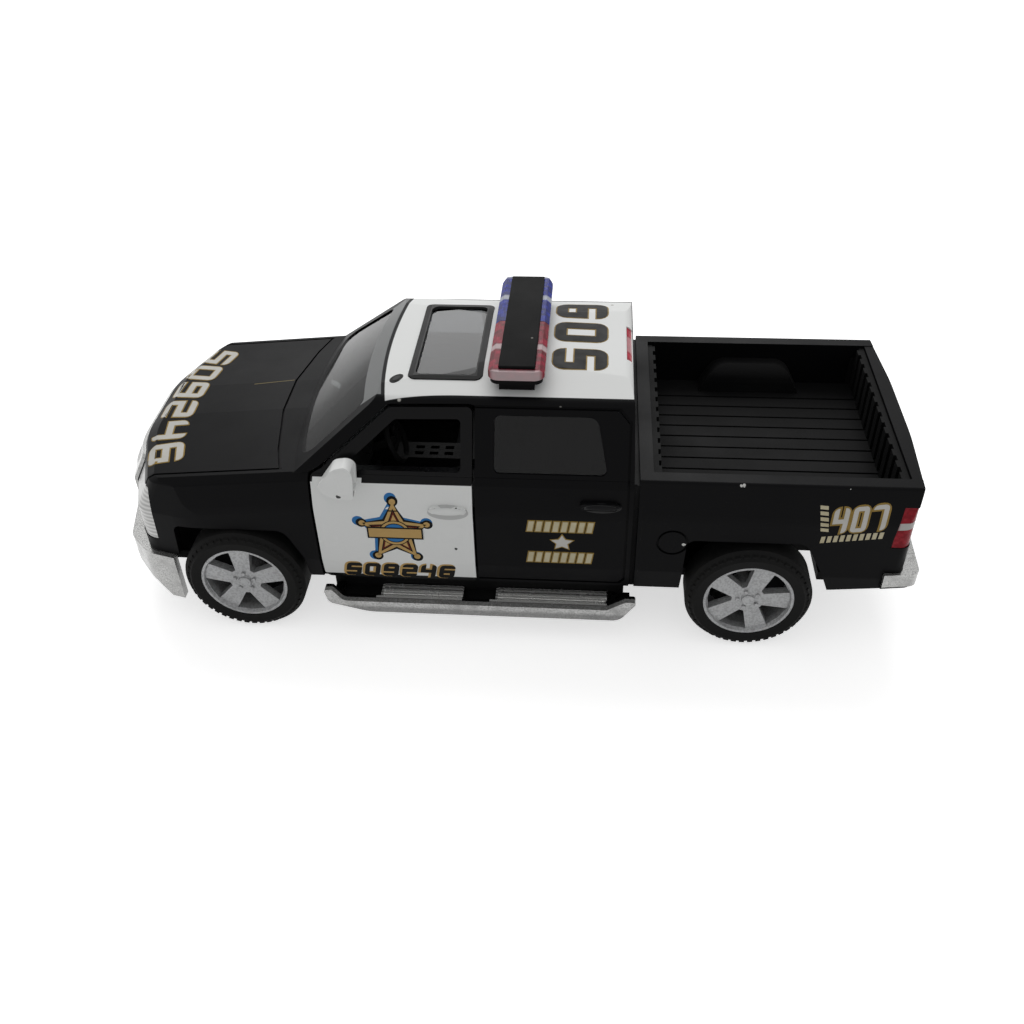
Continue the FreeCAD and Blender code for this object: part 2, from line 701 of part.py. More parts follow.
def make_body_shell():
    cab_room = cab_form("cab_room", S["casting_wall"], S["sill_z"] - 5.0)
    lower_room = lower_form("lower_room", S["casting_wall"], as_size(5.0))
    under_bed = box("under_bed_keep", (-S["tail_x"] - 5.0, -FAR, S["bed_floor_z"] - S["casting_wall"]),
                    (-S["cab_rear_x"], FAR, FAR))
    room = cut("lower_hollow", lower_room, under_bed)
    load = box("load_space", (-S["bed_rear_x"], -S["bed_half_width"], S["bed_floor_z"]),
               (-S["bed_front_x"], S["bed_half_width"], FAR))
    tail = box("tailgate_space", (-S["tail_x"] - 2.0, -S["bed_half_width"], S["bed_floor_z"] - 5.5),
               (-S["bed_rear_x"] + 0.01, S["bed_half_width"], FAR))
    gap_band = box("bed_gap_band", (-S["cab_rear_x"] - S["bed_gap"], -FAR, 0.0), (-S["cab_rear_x"], FAR, FAR))
    gap_core = box("bed_gap_core", (-FAR, -S["half_width"] + 1.3, 0.0),
                   (0.0, S["half_width"] - 1.3, S["rail_z"] - 1.0))
    doors = prism("door_openings", "side", door_outline(S["door_gap"]), -FAR, FAR)
    door_core = box("door_core", (-FAR, -S["roof_half_width"] + 3.5, 0.0),
                    (FAR, S["roof_half_width"] - 3.5, FAR + 10.0))
    rear_windows = prism("rear_side_windows", "side", rear_window_outline(NONE), -FAR, FAR)
    screen = prism("screen_opening", "front", screen_outline(NONE), S["roof_front_x"] - 4.0, FAR)
    back = prism("back_opening", "front", back_window_outline(NONE), -S["cab_rear_x"] - 1.0,
                 -S["cab_rear_x"] + 4.0)
    sunroof = prism("sunroof_opening", "plan", sunroof_outline(NONE), S["roof_z"] - 4.0, FAR + 10.0)
    high_lamp = box("high_lamp_recess", (-S["cab_rear_x"] - 1.0, -S["high_lamp_half_width"], S["roof_edge_z"] + 0.2),
                    (-S["cab_rear_x"] + 1.5, S["high_lamp_half_width"], FAR + 10.0))
    lamp = lamp_shape("lamp_openings", NONE)
    grille = prism("grille_opening", "front", grille_outline(NONE), S["nose_x"] - 8.0, S["nose_x"] + 5.0)
    tail_lamp = tail_lamp_shape("tail_lamp_openings", NONE)
    hinge_room = post("hinge_room", S["hinge_inset_x"] + S["door_gap"] * 0.75, DOOR_HINGE_X, DOOR_HINGE_Y,
                      S["sill_z"] - 1.0, S["belt_z"] + 1.2)
    hollow = cut("body_hollow", OUTER, cab_room, room, load, tail, cut("bed_gap_ring", gap_band, gap_core),
                 cut("door_cut", doors, door_core), rear_windows, screen, back, sunroof, high_lamp,
                 lamp, twin("lamp_openings_right", lamp), grille,
                 tail_lamp, twin("tail_lamp_openings_right", tail_lamp),
                 hinge_room, twin("hinge_room_right", hinge_room), make_panel_lines(),
                 arch_cut("front_arches", S["front_axle_x"], NONE, NONE),
                 arch_cut("rear_arches", REAR_AXLE_X, S["rear_arch_rise"], S["rear_arch_lean"]))
    handle = handle_bar("rear_door_handle", -S["rear_door_end_x"] + 1.4, S["rear_handle_z"])
    keep("body_shell", fuse("body_shell_solid", hollow, handle, twin("rear_door_handle_right", handle)))


def handle_bar(name, rear_x, middle_z):
    """A pull handle that stands proud of the body side."""
    half = 0.5 * S["handle_height"]
    return prism(name, "side", [
        (rear_x, middle_z - half, 0.4),
        (rear_x + S["handle_length"], middle_z - half, 0.5),
        (rear_x + S["handle_length"], middle_z + half, 0.5),
        (rear_x, middle_z + half, 0.4),
    ], S["half_width"] - 1.0, S["half_width"] + 0.35)


def make_mirror_head():
    """A rounded head on the door's front corner, sloping down forwards, with its glass facing the rear."""
    outer_y = S["half_width"] + S["mirror_reach"]
    inner_y = outer_y - S["mirror_depth"]
    rear_x = S["door_rear_x"] + 17.0
    low = S["belt_z"] - 2.0
    top = low + S["mirror_height"]
    side = prism("mirror_side", "side", [
        (rear_x + 0.2, low, 0.8),
        (rear_x + 5.0, low + 0.3),
        (rear_x + 5.8, low + 1.4),
        (rear_x + 3.0, top - 0.6, 1.6),
        (rear_x - 0.2, top, 1.4),
    ], inner_y, outer_y)
    front = prism("mirror_front", "front", [
        (inner_y, low - 1.0), (outer_y - 0.8, low - 1.0), (outer_y, low + 1.6),
        (outer_y - 0.5, top + 0.2, 1.8), (inner_y, top + 0.2, 0.8),
    ], rear_x - 2.0, rear_x + 8.0)
    plan = prism("mirror_plan", "plan", [
        (rear_x - 2.0, inner_y), (rear_x + 8.0, inner_y), (rear_x + 8.0, outer_y - 2.4),
        (rear_x + 5.4, outer_y - 1.6), (rear_x + 2.0, outer_y, 3.0), (rear_x - 2.0, outer_y),
    ], low - 1.0, top + 1.0)
    glass = box("mirror_glass", (rear_x - 2.0, inner_y + 0.5, low + 1.5),
                (rear_x + 0.35, outer_y - 0.6, top - 0.9))
    return cut("mirror_head", common("mirror_blank", side, front, plan), glass)


def make_doors():
    """Each door has its window frame, mirror, handle and armrest cast in."""
    door_skin = cut("door_skin", OUTER, whole_form("door_skin_inner", S["door_wall"], as_size(5.0)))
    panel = prism("door_panel", "side", door_outline(NONE), 0.0, FAR)
    window = prism("door_window", "side", door_window_outline(), 0.0, FAR)
    mirror = make_mirror_head()
    handle = handle_bar("door_handle", S["door_rear_x"] + 1.0, S["handle_z"])
    armrest_y = S["half_width"] - S["door_wall"]
    armrest = prism("door_armrest", "side", [
        (S["door_rear_x"] + 3.0, S["cushion_z"] + 1.0), (S["door_front_x"] - 9.0, S["cushion_z"] + 2.0),
        (S["door_front_x"] - 9.0, S["cushion_z"] + 3.4), (S["door_rear_x"] + 3.0, S["cushion_z"] + 3.4, 0.8),
    ], armrest_y - 0.9, armrest_y + 0.3)
    sheet_metal = cut("door_metal", common("door_blank", door_skin, panel), window)
    left = fuse("door_left_solid", sheet_metal, mirror, handle, armrest)
    keep("door_left", left)
    keep("door_right", twin("door_right_solid", left))


def make_glass():
    fit = S["fit_gap"]
    inset = S["glass_inset"]
    pane = cut("pane_skin", cab_form("pane_outer", inset, S["belt_z"] - 4.0),
               cab_form("pane_inner", inset + S["glass_wall"], S["belt_z"] - 8.0))
    front = prism("screen_pane", "front", screen_outline(fit), S["roof_front_x"] - 3.5, FAR)
    keep("windshield", common("windshield_solid", pane, front))
    back = prism("back_pane", "front", back_window_outline(fit), -S["cab_rear_x"] - 1.0,
                 -S["cab_rear_x"] + 3.8)
    keep("rear_window", common("rear_window_solid", pane, back))
    side = prism("side_pane", "side", rear_window_outline(fit), 8.0, FAR)
    left = keep("rear_side_glass_left", common("rear_side_glass_left_solid", pane, side))
    keep("rear_side_glass_right", twin("rear_side_glass_right_solid", left))
    inner = S["sunroof_frame"] + fit
    top = prism("sunroof_pane", "plan", sunroof_outline(inner + fit), S["roof_z"] - 3.0, FAR + 10.0)
    keep("sunroof_glass", common("sunroof_glass_solid", pane, top))
    frame_skin = cut("sunroof_frame_skin", cab_form("sunroof_frame_outer", as_size(-0.2), S["belt_z"] - 4.0),
                     cab_form("sunroof_frame_inner", inset + S["glass_wall"], S["belt_z"] - 8.0))
    ring = cut("sunroof_ring", prism("sunroof_ring_outer", "plan", sunroof_outline(fit), FAR - 3.0, FAR + 10.0),
               prism("sunroof_ring_inner", "plan", sunroof_outline(inner), FAR - 4.0, FAR + 11.0))
    keep("sunroof_frame", common("sunroof_frame_solid", frame_skin, ring))
    lamp_skin = cut("high_lamp_skin", cab_form("high_lamp_outer", 0.5 * inset, S["belt_z"] - 4.0),
                    cab_form("high_lamp_inner", S["casting_wall"] - fit, S["belt_z"] - 8.0))
    block = box("high_lamp_block", (-S["cab_rear_x"] - 1.0, -S["high_lamp_half_width"] + fit,
                                    S["roof_edge_z"] + 0.2 + fit),
                (-S["cab_rear_x"] + 1.5 - fit, S["high_lamp_half_width"] - fit, FAR + 10.0))
    keep("brake_lamp_high", common("brake_lamp_high_solid", lamp_skin, block))


def make_bed_liner():
    """Ribbed floor, upright ribs on both end walls, and the rounded humps over the wheels."""
    fit = S["fit_gap"]
    back_x = -S["bed_rear_x"] + fit
    front_x = -S["bed_front_x"] - fit
    side_y = S["bed_half_width"] - fit
    floor_z = S["bed_floor_z"] + S["liner_wall"]
    wall_top = S["rail_z"] - 0.6
    solids = [box("liner_floor", (back_x, -side_y, S["bed_floor_z"] + fit), (front_x, side_y, floor_z))]
    solids.append(box("liner_front_wall", (front_x - S["liner_wall"], -side_y, S["bed_floor_z"] + fit),
                      (front_x, side_y, wall_top)))
    solids.append(box("liner_rear_wall", (back_x, -side_y, S["bed_floor_z"] + fit),
                      (back_x + S["liner_wall"], side_y, wall_top)))
    middle = 0.5 * (S["rib_count"].value - 1)
    for i in range(int(S["rib_count"].value)):
        y = S["rib_pitch"] * (i - middle)
        solids.append(box(f"liner_rib_{i}", (back_x + 0.5, y - 0.5 * S["rib_pitch"] + 0.2, floor_z - 0.1),
                          (front_x - 0.5, y + 0.5 * S["rib_pitch"] - 0.2, floor_z + S["rib_height"])))
    edge = S["rib_pitch"] * (0.5 * S["rib_count"]) + 0.2
    strip = box("liner_strip", (back_x + 0.5, edge, floor_z - 0.1),
                (front_x - 0.5, side_y, floor_z + S["rib_height"]))
    solids += [strip, twin("liner_strip_right", strip)]
    tooth_pitch = 2 * side_y / S["tooth_count"]
    for i in range(int(S["tooth_count"].value)):
        y = -side_y + tooth_pitch * (i + 0.5)
        for wall, low_x, high_x in (
                ("front", front_x - S["liner_wall"] - S["tooth_depth"], front_x - S["liner_wall"] + 0.1),
                ("rear", back_x + S["liner_wall"] - 0.1, back_x + S["liner_wall"] + S["tooth_depth"])):
            solids.append(box(f"liner_{wall}_tooth_{i}", (low_x, y - 0.28 * tooth_pitch, floor_z),
                              (high_x, y + 0.28 * tooth_pitch, wall_top)))
    hump_top = floor_z + S["hump_height"]
    hump_x = REAR_AXLE_X - 2.0
    hump_side = prism("liner_hump_side", "side", [
        (hump_x - 9.0, floor_z - 0.2),
        (hump_x + 8.8, floor_z - 0.2),
        (hump_x + 6.0, hump_top, 3.4),
        (hump_x - 6.0, hump_top, 3.4),
    ], S["bed_half_width"] - S["hump_width"], side_y)
    hump_front = prism("liner_hump_front", "front", [
        (S["bed_half_width"] - S["hump_width"] - 0.3, floor_z - 0.4),
        (side_y, floor_z - 0.4),
        (side_y, hump_top + 0.1),
        (S["bed_half_width"] - S["hump_width"] + 0.3, hump_top + 0.1, 2.4),
    ], hump_x - 12.0, hump_x + 12.0)
    hump = common("liner_hump", hump_side, hump_front)
    keep("bed_liner", fuse("bed_liner_solid", *solids, hump, twin("liner_hump_right", hump)))


def make_tailgate():
    """The bowed gate, with a pressed panel and its pull on the outside."""
    fit = S["fit_gap"]
    low_z = S["bed_floor_z"] - 5.5 + fit
    side_y = S["bed_half_width"] - fit
    blank = plan_form("tailgate_blank", NONE, low_z, S["rail_z"] - 0.2)
    keep_in = box("tailgate_keep", (-S["tail_x"] - 2.0, -side_y, 0.0), (-S["bed_rear_x"] - fit, side_y, FAR))
    panel = cut("tailgate_panel_room", prism("tailgate_panel_zone", "front", both_sides([
        (S["bed_half_width"] - 3.0, low_z + 2.0, 1.0),
        (S["bed_half_width"] - 3.0, S["rail_z"] - 6.0, 1.0),
    ]), -S["tail_x"] - 2.0, -S["tail_x"] + 3.0), plan_form("tailgate_panel_floor", as_size(0.35), 0.0, FAR))
    pull = cut("tailgate_pull_room", prism("tailgate_pull_zone", "front", both_sides([
        (3.4, S["rail_z"] - 5.0, 0.6),
        (3.4, S["rail_z"] - 2.4, 0.6),
    ]), -S["tail_x"] - 2.0, -S["tail_x"] + 3.0), plan_form("tailgate_pull_floor", as_size(0.6), 0.0, FAR))
    keep("tailgate", cut("tailgate_solid", common("tailgate_body", blank, keep_in), panel, pull))


def front_bumper_plan(name, inset, low, high):
    side = S["half_width"] + 0.1 - inset
    nose = S["front_end"] - inset
    return prism(name, "plan", both_flanks([
        (S["front_axle_x"] + 11.2, side),
        (nose - 6.4, side - 1.2, 4.0),
        (nose - 2.4, side - 5.2, 5.0),
        (nose, 0.3 * S["half_width"], 14.0),
    ]), low, high)


def make_front_end():
    fit = S["fit_gap"]
    left = keep("headlamp_left", common("headlamp_left_solid", TRIM_SKIN, lamp_shape("headlamp_shape", fit)))
    keep("headlamp_right", twin("headlamp_right_solid", left))
    face = cut("grille_skin", lower_form("grille_face", -S["grille_proud"], NONE), TRIM_INNER)
    frame = common("grille_frame", face,
                   prism("grille_shape", "front", grille_outline(fit), S["nose_x"] - 7.0, S["nose_x"] + 5.0))
    low_z = S["grille_base_z"] + 0.8 + S["slat_wall"]
    pitch = (S["grille_top_z"] - low_z) / S["slat_count"]
    slots = []
    for i in range(int(S["slat_count"].value)):
        slots.append(box(f"grille_slot_{i}",
                         (S["nose_x"] - 9.0, -S["grille_half_width"] + 2 * S["slat_wall"], low_z + pitch * i),
                         (S["nose_x"] + 5.0, S["grille_half_width"] - 2 * S["slat_wall"],
                          low_z + pitch * (i + 1) - S["slat_wall"])))
    keep("front_grille", cut("front_grille_solid", frame, *slots))
    insert_skin = cut("grille_insert_skin", TRIM_INNER,
                      lower_form("grille_insert_inner", TRIM_BACK + 0.8, as_size(5.0)))
    keep("grille_insert", common("grille_insert_solid", insert_skin,
                                 prism("grille_insert_shape", "front", grille_outline(as_size(0.3)),
                                       S["nose_x"] - 9.0, S["nose_x"] + 5.0)))
    top = S["grille_base_z"] - 2 * fit
    ring = cut("bumper_ring", front_bumper_plan("bumper_outer", NONE, S["bumper_base_z"], top),
               front_bumper_plan("bumper_inner", S["bumper_wall"], 0.0, FAR))
    profile = prism("bumper_profile", "side", [
        (S["front_axle_x"], S["bumper_base_z"]),
        (S["front_end"] - 8.9, S["bumper_base_z"]),
        (S["front_end"] - 6.7, S["bumper_base_z"] + 2.7),
        (S["front_end"] - 3.1, S["bumper_base_z"] + 4.3),
        (S["front_end"], S["bumper_base_z"] + 5.6),
        (S["front_end"], top),
        (S["front_axle_x"], top),
    ], -FAR, FAR)
    mouth = box("bumper_mouth", (S["front_end"] - 6.0, -8.0, top - 2.0),
                (S["front_end"] + 1.0, 8.0, top - 0.9))
    keep("front_bumper", cut("front_bumper_solid", common("bumper_blank", ring, profile), mouth))


def rear_bumper_plan(name, inset, low, high):
    side = S["half_width"] + 0.7 - inset
    return prism(name, "plan", both_flanks([
        (-S["rear_end"] + inset, 8.0, 60.0),
        (-S["rear_end"] + 0.6 + inset, side - 0.6, 1.6),
        (-S["rear_end"] + 6.0, side),
    ]), low, high)


def make_rear_end():
    fit = S["fit_gap"]
    left = keep("tail_lamp_left", common("tail_lamp_left_solid", TRIM_SKIN,
                                         tail_lamp_shape("tail_lamp_shape", fit)))
    keep("tail_lamp_right", twin("tail_lamp_right_solid", left))
    base = S["rear_bumper_base_z"]
    keep("rear_bumper", cut("rear_bumper_solid", rear_bumper_plan("rear_bumper_outer", NONE, base,
                                                                  S["rear_bumper_top_z"]),
                            plan_form("rear_bumper_inner", -fit, 0.0, FAR)))
    keep("rear_valance", cut("rear_valance_solid",
                             rear_bumper_plan("rear_valance_outer", as_size(0.5), base - fit - S["valance_height"],
                                              base - fit),
                             plan_form("rear_valance_inner", 2 * S["bumper_wall"], 0.0, FAR),
                             OUTER))


def make_base_plate():
    """Floor of the toy: bearings for the axles, keel, and the shelves that carry the running boards."""
    fit = S["fit_gap"]
    top = S["sill_z"] - fit
    reach = S["tyre_radius"] + S["arch_gap"] + 0.8
    well = S["well_half_width"]
    front_x = S["front_axle_x"] - reach
    rear_x = REAR_AXLE_X + reach
    narrow = S["wheel_face_y"] - S["tyre_width"] - S["bearing_gap"]
    solids = [box("base_middle", (rear_x, -S["base_half_width"], S["base_z"]), (front_x, S["base_half_width"], top))]
    spine = box("base_spine", (REAR_AXLE_X - reach, -well, S["base_z"]), (S["front_axle_x"] + reach, well, top))
    nose = common("base_nose", front_bumper_plan("base_nose_plan", S["bumper_wall"] + fit, S["base_z"], top),
                  box("base_nose_box", (S["front_axle_x"] + reach - 0.1, -narrow, 0.0), (S["front_end"], narrow, FAR)))
    tail = box("base_tail", (-S["tail_x"] + 3.2, -narrow, S["base_z"]), (REAR_AXLE_X - reach + 0.1, narrow, top))
    solids += [spine, nose, tail]
    for end, x in (("front", S["front_axle_x"]), ("rear", REAR_AXLE_X)):
        solids.append(box(f"well_floor_{end}", (x, -narrow, S["base_z"]), (x + reach + 0.1, narrow, top)))
    bores = []
    for end, x in (("front", S["front_axle_x"]), ("rear", REAR_AXLE_X)):
        solids.append(box(f"bearing_{end}", (x - 3.0, -narrow, S["base_z"] - 1.4), (x + 3.0, narrow, 12.4)))
        bores.append(rod(f"bearing_bore_{end}", S["axle_radius"] + S["axle_clearance"], -narrow - 1.0, narrow + 1.0,
                         x, S["tyre_radius"]))
    solids.append(prism("base_keel", "side", [
        (rear_x + 1.0, S["base_z"] + 0.2), (front_x - 1.0, S["base_z"] + 0.2),
        (front_x - 3.0, S["keel_z"], 0.8), (rear_x + 3.0, S["keel_z"], 0.8),
    ], -9.0, 9.0))
    shelf = prism("base_shelf", "front", [
        (S["base_half_width"] - 1.6, S["base_z"] + 0.2), (S["base_half_width"] - 1.6, S["shelf_z"]),
        (S["board_y"] - S["board_rail"] - fit, S["shelf_z"]),
        (S["board_y"] - S["board_rail"] - fit, S["shelf_z"] + 0.7),
        (S["base_half_width"] - 0.6, S["shelf_z"] + 0.7), (S["base_half_width"] - 0.6, S["base_z"] + 0.2),
    ], -S["board_rear_x"] + 2.0, front_x - 2.0)
    solids += [shelf, twin("base_shelf_right", shelf)]
    tank = box("base_tank", (-16.0, 10.0, S["keel_z"] + 0.5), (2.0, S["base_half_width"] - 4.0, S["base_z"] + 0.2))
    silencer = rod("base_silencer", 1.3, -16.0, -10.5, 0.0, S["base_z"])
    shaft = rod("base_shaft_boss", 1.4, -4.0, 4.0, S["front_axle_x"] - 16.5, S["base_z"] - 1.2)
    solids += [tank, silencer, shaft]
    for i, x in enumerate((S["front_axle_x"] + reach + 2.6, REAR_AXLE_X - reach - 3.6)):
        solids.append(post(f"screw_boss_{i}", 2.4, x, 0.0, S["base_z"] - 0.9, top))
        bores.append(post(f"screw_hole_{i}", 1.5, x, 0.0, S["base_z"] - 2.0, S["base_z"] + 0.2))
    body = fuse("base_blank", *solids)
    pocket = box("motor_pocket", (REAR_AXLE_X - 8.0, -7.6, S["base_z"] + 0.6), (REAR_AXLE_X + 8.0, 7.6, 13.0))
    keep("base_plate", cut("base_plate_solid", body, pocket, *bores))
    motor = box("motor_block", (REAR_AXLE_X - 7.8, -7.4, S["base_z"] + 0.65), (REAR_AXLE_X + 7.8, 7.4, 19.8))
    bore = rod("motor_bore", S["axle_radius"] + S["axle_clearance"], -9.0, 9.0, REAR_AXLE_X, S["tyre_radius"])
    keep("pull_back_motor", cut("pull_back_motor_solid", motor, bore))


def make_running_boards():
    """A rounded outer rail with two ribbed step plates, the rear one ending on a slant."""
    fit = S["fit_gap"]
    rear_x = -S["board_rear_x"]
    front_x = S["door_front_x"] + 0.2
    rail_y = S["board_y"] - S["board_rail"]
    rail = prism("board_rail_bar", "side", [
        (rear_x - 0.2, S["board_z"] + 4.0, 0.4),
        (rear_x + 2.6, S["board_z"], 2.2),
        (front_x - 7.0, S["board_z"], 9.0),
        (front_x - 0.6, S["board_z"] + 1.7, 1.4),
        (front_x, S["board_z"] + 4.4, 0.4),
        (front_x - 1.4, S["board_z"] + 4.4),
        (front_x - 3.0, S["board_z"] + 2.2, 1.5),
        (rear_x + 4.6, S["board_z"] + 2.2),
        (rear_x + 1.8, S["board_z"] + 4.0),
    ], rail_y, S["board_y"])
    solids = [rail]
    low = S["shelf_z"] + 0.7 + fit
    inner_y = S["base_half_width"] - 0.6 + fit
    front_plate = [(6.4, inner_y), (19.9, inner_y), (19.9, rail_y + 0.2), (6.0, rail_y + 0.2)]
    rear_plate = [(rear_x + 3.3, inner_y), (1.4, inner_y), (1.4, rail_y + 0.2), (rear_x + 5.6, rail_y + 0.2)]
    for name, corners in (("front", front_plate), ("rear", rear_plate)):
        solids.append(prism(f"step_plate_{name}", "plan", corners, low, S["plate_z"] - 0.25))
        pitch = (rail_y + 0.2 - inner_y) / S["tread_rib_count"]
        low_x = corners[0][0] + 0.4
        high_x = corners[1][0] - 0.4
        slope = (as_size(corners[3][0]) - corners[0][0]) / (rail_y + 0.2 - inner_y)
        for i in range(int(S["tread_rib_count"].value)):
            rib_y = inner_y + pitch * (i + 0.25)
            solids.append(box(f"step_rib_{name}_{i}", (low_x + slope * (rib_y - inner_y), rib_y, low + 0.1),
                              (high_x, rib_y + 0.5 * pitch, S["plate_z"])))
    front_end = prism("board_front_end", "plan", [
        (front_x - 2.6, inner_y + 0.4), (front_x - 1.2, inner_y + 0.8),
        (front_x - 1.2, rail_y + 0.2), (front_x - 2.6, rail_y + 0.2),
    ], low, S["plate_z"] + 0.6)
    rear_end = prism("board_rear_end", "plan", [
        (rear_x + 1.0, inner_y + 0.4), (rear_x + 2.4, inner_y + 0.4),
        (rear_x + 4.6, rail_y + 0.2), (rear_x + 1.0, rail_y + 0.2),
    ], S["board_z"] + 1.4, S["plate_z"] + 0.2)
    solids += [front_end, rear_end]
    left = keep("running_board_left", fuse("running_board_left_solid", *solids))
    keep("running_board_right", twin("running_board_right_solid", left))


def make_light_bar():
    """A black base on two feet, one clear coloured lens each side, and the black cover."""
    fit = S["fit_gap"]
    half = S["bar_half_length"]
    x0 = -S["bar_rear_x"]
    x1 = S["bar_front_x"]
    lens_z = S["bar_base_z"] + S["bar_foot_height"]
    top_z = S["bar_base_z"] + S["bar_height"]
    cover_z = top_z - S["bar_cover"]
    base = prism("bar_base", "plan", both_flanks([(x0 + 0.3, half - 0.4, 1.2), (x1 - 0.3, half - 0.4, 1.2)]),
                 S["bar_base_z"], lens_z)
    foot = box("bar_foot", (x0 + 1.5, half - 5.4, S["roof_edge_z"]), (x1 - 1.5, half - 1.6, S["bar_base_z"] + 0.1))
    roof = cab_form("roof_form", -fit, S["belt_z"] - 4.0)
    feet = cut("bar_feet", fuse("bar_feet_blank", foot, twin("bar_foot_right", foot)), roof)
    keep("light_bar_base", fuse("light_bar_base_solid", base, feet))
    plan = prism("bar_lens_plan", "plan", [
        (x0, fit), (x1, fit), (x1, half, 1.6), (x0, half, 1.6),
    ], lens_z + fit, top_z)
    profile = prism("bar_lens_profile", "side", [
        (x0, lens_z + fit), (x1, lens_z + fit), (x1, cover_z - 0.6), (x1 - 0.7, cover_z),
        (x0 + 0.7, cover_z), (x0, cover_z - 0.6),
    ], 0.0, half)
    left = keep("light_bar_lens_red", common("light_bar_lens_red_solid", plan, profile))
    keep("light_bar_lens_blue", twin("light_bar_lens_blue_solid", left))
    keep("light_bar_cover", prism("bar_cover", "plan", both_flanks([
        (x0 + 0.8, half - 1.6, 0.8), (x1 - 0.8, half - 1.6, 0.8),
    ]), cover_z + fit, top_z))


# The cabin

def seat_profile(front_x, rear_x):
    """A seat from the side: cushion, and a backrest that leans back, down to the cab floor."""
    seat_z = S["cushion_z"]
    return [
        (rear_x + 3.2, S["floor_z"] + S["fit_gap"]),
        (front_x - 1.0, S["floor_z"] + S["fit_gap"]),
        (front_x, seat_z, 1.6),
        (rear_x + 6.4, seat_z - 0.8, 1.2),
        (rear_x + 3.4, S["backrest_z"], 1.2),
        (rear_x + 0.6, S["backrest_z"], 1.2),
    ]


def make_cabin():
    """Floor with its tunnel and console, dashboard, two front seats and the rear bench."""
    fit = S["fit_gap"]
    half = S["half_width"] - S["casting_wall"] - S["door_wall"] - 1.6
    tub_half = S["half_width"] - S["door_wall"] - 0.85
    tub = prism("cabin_floor", "plan", both_flanks([
        (-S["cab_rear_x"] + 2.2, tub_half), (23.0, tub_half), (27.0, half),
    ]), S["sill_z"], S["floor_z"])
    tunnel = box("cabin_tunnel", (2.0, -2.2, S["floor_z"] - 0.2), (22.0, 2.2, S["cushion_z"] + 0.6))
    keep("cabin_tub", fuse("cabin_tub_solid", tub, tunnel))
    dash = prism("dash_profile", "side", [
        (29.0, 20.0), (29.2, 28.4, 1.0), (23.0, 29.0, 2.0), (21.4, 25.0, 1.5), (24.0, 20.0, 1.0),
    ], -half + 0.6, half - 0.6)
    leg = box("dash_leg", (25.0, -half + 2.0, S["floor_z"] + fit), (27.0, half - 2.0, 21.0))
    binnacle = prism("dash_binnacle", "side", [
        (24.5, 27.5), (24.0, 30.0, 0.8), (21.6, 29.6, 0.6), (21.2, 27.0),
    ], S["seat_y"] - 3.6, S["seat_y"] + 3.6)
    stack = prism("dash_stack", "side", [
        (24.5, 19.8), (24.5, 28.6), (20.6, 28.2, 0.6), (19.4, S["cushion_z"] + 0.6 + fit),
        (24.5, S["cushion_z"] + 0.6 + fit),
    ], -3.2, 3.2)
    wells = []
    for row in range(2):
        for column in (-1.0, 1.0):
            middle = 1.5 * column
            wells.append(box(f"stack_well_{row}_{int(column)}", (18.0, middle - 1.1, 23.0 + 2.5 * row),
                             (20.9, middle + 1.1, 24.7 + 2.5 * row)))
    keep("dashboard", cut("dashboard_solid", fuse("dashboard_blank", dash, leg, binnacle, stack), *wells))
    for side, sign in (("left", 1.0), ("right", -1.0)):
        y = sign * S["seat_y"]
        seat = prism(f"seat_{side}_profile", "side", seat_profile(10.4, -3.6), y - S["seat_width"] / 2,
                     y + S["seat_width"] / 2)
        head = prism(f"headrest_{side}", "side", [
            (0.8, S["backrest_z"] - 0.4), (-1.2, S["backrest_z"] - 0.4),
            (-2.0, S["backrest_z"] + 3.4, 0.8), (0.2, S["backrest_z"] + 3.4, 0.8),
        ], y - 2.6, y + 2.6)
        keep(f"seat_front_{side}", fuse(f"seat_front_{side}_solid", seat, head))
    bench = prism("bench_profile", "side", seat_profile(-5.4, -17.0), -half + 1.2, half - 1.2)
    keep("rear_bench", bench)


def make_steering_wheel():
    """A ring of four-sided section with one bar across it, on a column from the dashboard."""
    spot = FreeCAD.Placement(FreeCAD.Vector(17.6, S["seat_y"].value, 27.2),
                             FreeCAD.Rotation(FreeCAD.Vector(0, 1, 0), 112))
    ring_outline = free_sketch("steering_ring", "side")
    draw_outline(ring_outline, [
        (3.3 + 0.5 * math.cos(math.radians(90 * i)), 0.5 * math.sin(math.radians(90 * i)))
        for i in range(4)
    ])
    ring = doc.addObject("Part::Revolution", "steering_ring")
    ring.Source = ring_outline
    ring.Axis = FreeCAD.Vector(0, 0, 1)
    ring.Angle = 360
    ring.Solid = True
    ring.Placement = spot
    spoke = doc.addObject("Part::Box", "steering_spoke")
    bind(spoke, "Length", 0.9)
    bind(spoke, "Width", 6.6)
    bind(spoke, "Height", 0.7)
    spoke.Placement = spot.multiply(FreeCAD.Placement(FreeCAD.Vector(-0.45, -3.3, -0.35), FreeCAD.Rotation()))
    column = doc.addObject("Part::Cylinder", "steering_column")
    bind(column, "Radius", 0.7)
    bind(column, "Height", 7.0)
    column.Placement = spot
    blank = fuse("steering_blank", ring, spoke, column)
    keep("steering_wheel", cut("steering_wheel_solid", blank, PARTS["dashboard"]))


def make_axle(end, x):
    tip = S["wheel_face_y"] - S["rim_dish"] - S["hub_cap_wall"] - S["fit_gap"]
    keep(f"axle_{end}", rod(f"axle_{end}_solid", S["axle_radius"], -tip, tip, x, S["tyre_radius"]))


